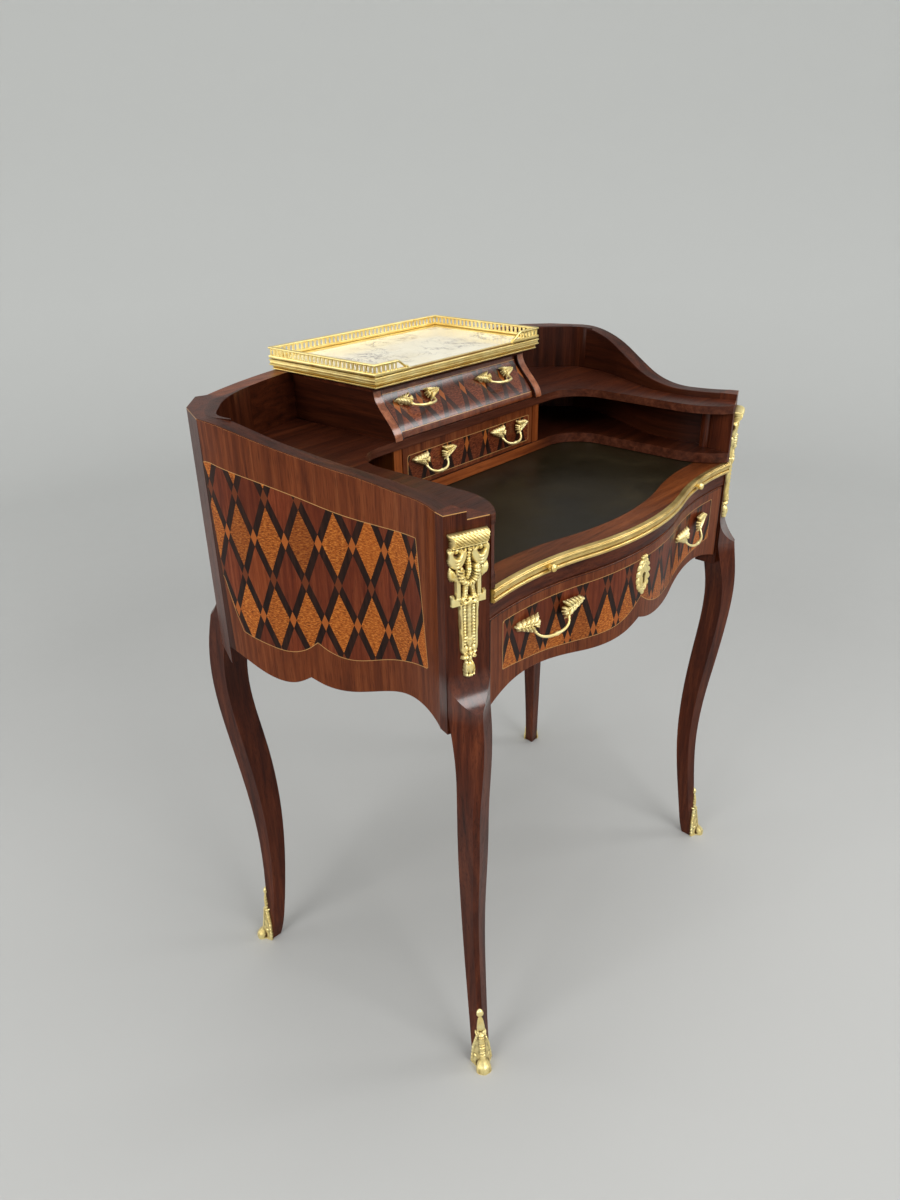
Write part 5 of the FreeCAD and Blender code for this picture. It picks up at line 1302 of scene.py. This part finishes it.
def bail(end, radius):
    """Bail between the leaves: a round section carried along a hanging curve with a full belly, with a ring
    in the middle and one near each end."""
    turn = np.linspace(-math.pi / 2, math.pi / 2, 61)
    c = np.maximum(np.cos(turn), 0)
    x = end * np.sign(turn) * np.abs(np.sin(turn)) ** 0.8
    path = np.stack([x, 4.4 + 11.6 * c ** 0.9, -4.5 - 13.8 * c ** 0.8], -1)
    along = np.gradient(path, axis=0)
    along /= np.linalg.norm(along, axis=1)[:, None]
    level = np.cross(along, [0, 1.0, 0])
    level /= np.linalg.norm(level, axis=1)[:, None]
    third = np.cross(level, along)
    place = np.linspace(-1, 1, 61)
    swell = radius * (0.9 + 0.14 * np.cos(place * math.pi)) + 0.9 * np.exp(-(place / 0.035) ** 2)
    swell = swell + 0.6 * np.exp(-((np.abs(place) - 0.84) / 0.05) ** 2)
    turn = np.linspace(0, 2 * math.pi, 12, endpoint=False)
    ring = np.cos(turn)[None, :, None] * level[:, None] + np.sin(turn)[None, :, None] * third[:, None]
    return closed_tube(path[:, None] + swell[:, None, None] * ring)


POST_INSET = 13.0        # from a handle's end to its post
POST_PROFILE = [(4.0, 0), (4.0, 1.4), (3.2, 3.0), (2.6, 4.0), (2.2, 4.4)]


def handle_shapes(half, tall):
    """Handle in its own axes (across, out, up): posts, a cast leaf on each side and the bail. The leaf is
    broad at the bail, where it stands away from the wood, and runs outwards to a point, a little upwards."""
    shapes = [bail(half * 0.47, 1.9)]
    tilt = math.radians(9)
    long = 0.62 * half
    u = np.linspace(-0.1 * long, 1.02 * long, int(2.2 * long) + 1)
    v = np.linspace(-1.15 * tall, 1.15 * tall, int(4.4 * tall) + 1)
    u, v = np.meshgrid(u, v, indexing="ij")
    height = leaf_height(u, v, long, tall)

    def leaf_place(u, v, height):
        """Points of the right leaf: away from the wood, most at its broad end."""
        away = 2.4 + 2.2 * np.clip(1 - u / long, 0, 1) + height
        x = half * 0.35 + math.cos(tilt) * u - math.sin(tilt) * v
        return np.stack([x, away, math.sin(tilt) * u + math.cos(tilt) * v], -1)

    leaf = relief(u, v, height, leaf_place)
    for side in (-1, 1):
        post = (side * (half - POST_INSET), -1.2, 0.5)
        own_leaf = {**leaf, "points": leaf["points"] * [side, 1, 1]}
        shapes += [turned(post, (0, 1, 0), POST_PROFILE, 12), own_leaf]
    return shapes


def put(shapes, origin, across, out, up):
    """Shapes carried from their own axes to a place on the desk."""
    axes = np.array([across, out, up], float)
    return [{**shape, "points": np.array(origin, float) + shape["points"] @ axes} for shape in shapes]


FRIEZE_HANDLE = {"half": 64.0, "tall": 11.6}
FRIEZE_HANDLE_X, FRIEZE_HANDLE_Z = 179.0, 666.2
SMALL_HANDLE = {"half": 46.0, "tall": 9.0}
SMALL_HANDLE_X = 85.0

frieze_handles = []
for side in (-1, 1):
    apart = FRIEZE_HANDLE["half"] - POST_INSET
    posts = side * np.array([FRIEZE_HANDLE_X - apart, FRIEZE_HANDLE_X + apart])
    ends = np.stack([posts, front_y(posts)], -1)
    along = (ends[1] - ends[0]) * side
    along /= np.linalg.norm(along)
    middle = (*ends.mean(0), FRIEZE_HANDLE_Z)
    across, out, up = (*along, 0), (along[1], -along[0], 0), (0, 0, 1)
    frieze_handles += put(handle_shapes(**FRIEZE_HANDLE), middle, across, out, up)
piece("frieze_handles_cast", frieze_handles, handle_gilt, "frieze_drawer", ["frieze_handles"],
      crease=50)
lean = math.radians(41.3)
leaning = (0, -math.cos(lean), math.sin(lean)), (0, math.sin(lean), math.cos(lean))
small_places = {
    "upper_drawer": ((60.1, 869.0), *leaning),
    "lower_drawer": ((SMALL_FACE_Y, 793.0), (0, -1, 0), (0, 0, 1)),
}
for body, (at, out, up) in small_places.items():
    handles = []
    for x in (-SMALL_HANDLE_X, SMALL_HANDLE_X):
        handles += put(handle_shapes(**SMALL_HANDLE), (x, *at), (1, 0, 0), out, up)
    piece(body + "_handles_cast", handles, handle_gilt, body, [body + "_handles"], crease=50)


# Carried-over parts

PART_FINISHES = {
    "front_leg": front_wood, "back_leg": back_wood, "back_panel": back_veneer, "front_rail": rail_wood,
    "slide_bearer": carcass_wood, "drawer_runner": carcass_wood, "dust_panel": carcass_wood,
    "base_board": base_wood, "shelf_board": shelf_wood, "compartment": post_wood, "centre_wall": honey_wood,
    "bracket_wall": wall_wood, "centre_top": rail_wood, "marble_top": tray_marble, "slide_board": border_wood,
    "slide_leather": slide_leather, "frieze_side": lining_wood, "frieze_back": lining_wood,
    "frieze_bottom": lining_wood, "upper_drawer": lining_wood, "lower_drawer": lining_wood,
    "lock": dull_steel, "corner_mount_pins": frame_brass,
}
for name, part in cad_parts.items():
    kinds = [material for key, material in PART_FINISHES.items() if name.startswith(key)]
    if name.endswith("screws"):
        kinds = [dull_steel]
    if not part.hide_render:
        part.data.materials.clear()
        part.data.materials.append(kinds[0])


# Floor, light and camera

def pale_floor():
    """Plain pale ground that runs up into a plain wall all round: a profile, flat, then a quarter of a
    circle, then upright, turned round the middle."""
    bend, bend_r = np.linspace(0, math.pi / 2, 14), 1400
    radius = np.concatenate([[0, 500, 1200, 2000], 2600 + bend_r * np.sin(bend), [4000]])
    height = np.concatenate([[0, 0, 0, 0], bend_r - bend_r * np.cos(bend), [4200]])
    turn = np.linspace(0, 2 * math.pi, 96, endpoint=False)
    across, along = radius[:, None] * np.cos(turn), radius[:, None] * np.sin(turn)
    level = np.broadcast_to(height[:, None], across.shape)
    ground = surface(np.stack([across, along, level], -1), round_cols=True)
    points, whole, triangles, _ = closed_up(ground)
    mesh = bpy.data.meshes.new("pale_floor")
    mesh.from_pydata((points * MM).tolist(), [], whole[:, ::-1].tolist() + triangles[:, ::-1].tolist())
    mesh.shade_smooth()
    material, tree, shader = finish("pale_floor", {"Specular IOR Level": 0.15})
    place = object_place(tree)
    away = node(tree, "ShaderNodeVectorMath", {"operation": "LENGTH"}, n0=place).outputs["Value"]
    away = maths(tree, "MULTIPLY_ADD", noise(tree, place, 3.0, 4.0, 0.6), 0.1, away)
    pale = (0.0, colour(176, 176, 174)), (1.0, colour(204, 205, 203))
    tone = stops(tree, between(tree, away, 1.4, 3.8), *pale)
    rough = between(tree, noise(tree, place, 20.0), 0.3, 0.7, 0.55, 0.65)
    feed(tree, shader, Base_Color=tone, Roughness=rough)
    mesh.materials.append(material)
    made = bpy.data.objects.new("pale_floor", mesh)
    bpy.context.scene.collection.objects.link(made)


def place_object(name, data, axes, place):
    """Object with its own right, up and backward axes at a place, in metres."""
    made = bpy.data.objects.new(name, data)
    turn = np.eye(4)
    turn[:3] = np.stack([*axes, place], -1)
    made.matrix_world = Matrix(turn.tolist())
    bpy.context.scene.collection.objects.link(made)
    return made


def lamp(name, place, aim, size, power):
    """Soft rectangular lamp at a place, turned towards its aim."""
    light = bpy.data.lights.new(name, "AREA")
    light.shape = "RECTANGLE"
    light.size, light.size_y = size
    light.energy = power
    away = np.array(place, float) - np.array(aim, float)
    away /= np.linalg.norm(away)
    right = np.cross([0, 0, 1.0], away)
    right /= np.linalg.norm(right)
    place_object(name, light, (right, np.cross(away, right), away), place)


def photograph_camera():
    """Camera at the photograph's place: level heading, then tilt down, then a slight roll; the long side of
    the picture carries the sensor's width."""
    yaw, pitch, roll = math.radians(41.72), math.radians(26.51), math.radians(1.10)
    place = (-0.9619, -0.7747, 1.160)
    sensor, focal_pixels, picture_height = 36, 876.6, 1200
    ahead = np.array([math.cos(yaw), math.sin(yaw), 0])
    right = np.array([math.sin(yaw), -math.cos(yaw), 0])
    up = np.array([0, 0, 1.0])
    look = math.cos(pitch) * ahead - math.sin(pitch) * up
    down = -math.cos(pitch) * up - math.sin(pitch) * ahead
    turned_right = math.cos(roll) * right + math.sin(roll) * down
    turned_down = -math.sin(roll) * right + math.cos(roll) * down
    data = bpy.data.cameras.new("photograph_camera")
    data.lens = focal_pixels / picture_height * sensor
    data.sensor_width = sensor
    data.clip_start = 0.02
    axes = turned_right, -turned_down, -look
    bpy.context.scene.camera = place_object("photograph_camera", data, axes, place)


def studio_world():
    """Even pale surroundings."""
    world = bpy.data.worlds.new("studio")
    world.use_nodes = True
    ground = world.node_tree.nodes["Background"]
    ground.inputs["Color"].default_value = colour(214, 216, 216)
    ground.inputs["Strength"].default_value = 0.7
    bpy.context.scene.world = world


pale_floor()
studio_world()
lamp("front_lamp", (-0.4, -2.9, 2.6), (0, 0, 0.7), (1.8, 1.2), 58)
lamp("side_lamp", (-3.0, 0.0, 2.3), (0, 0, 0.75), (1.4, 1.4), 44)
lamp("top_lamp", (0.3, -0.2, 3.6), (0, 0, 0.8), (2.2, 2.2), 48)
lamp("right_lamp", (2.0, -1.8, 2.25), (0, 0.05, 0.86), (0.7, 0.9), 15)
lamp("back_lamp", (-2.2, 2.2, 1.3), (0, 0, 0.8), (1.6, 1.6), 16)
photograph_camera()
bpy.context.scene.view_settings.view_transform = "Standard"
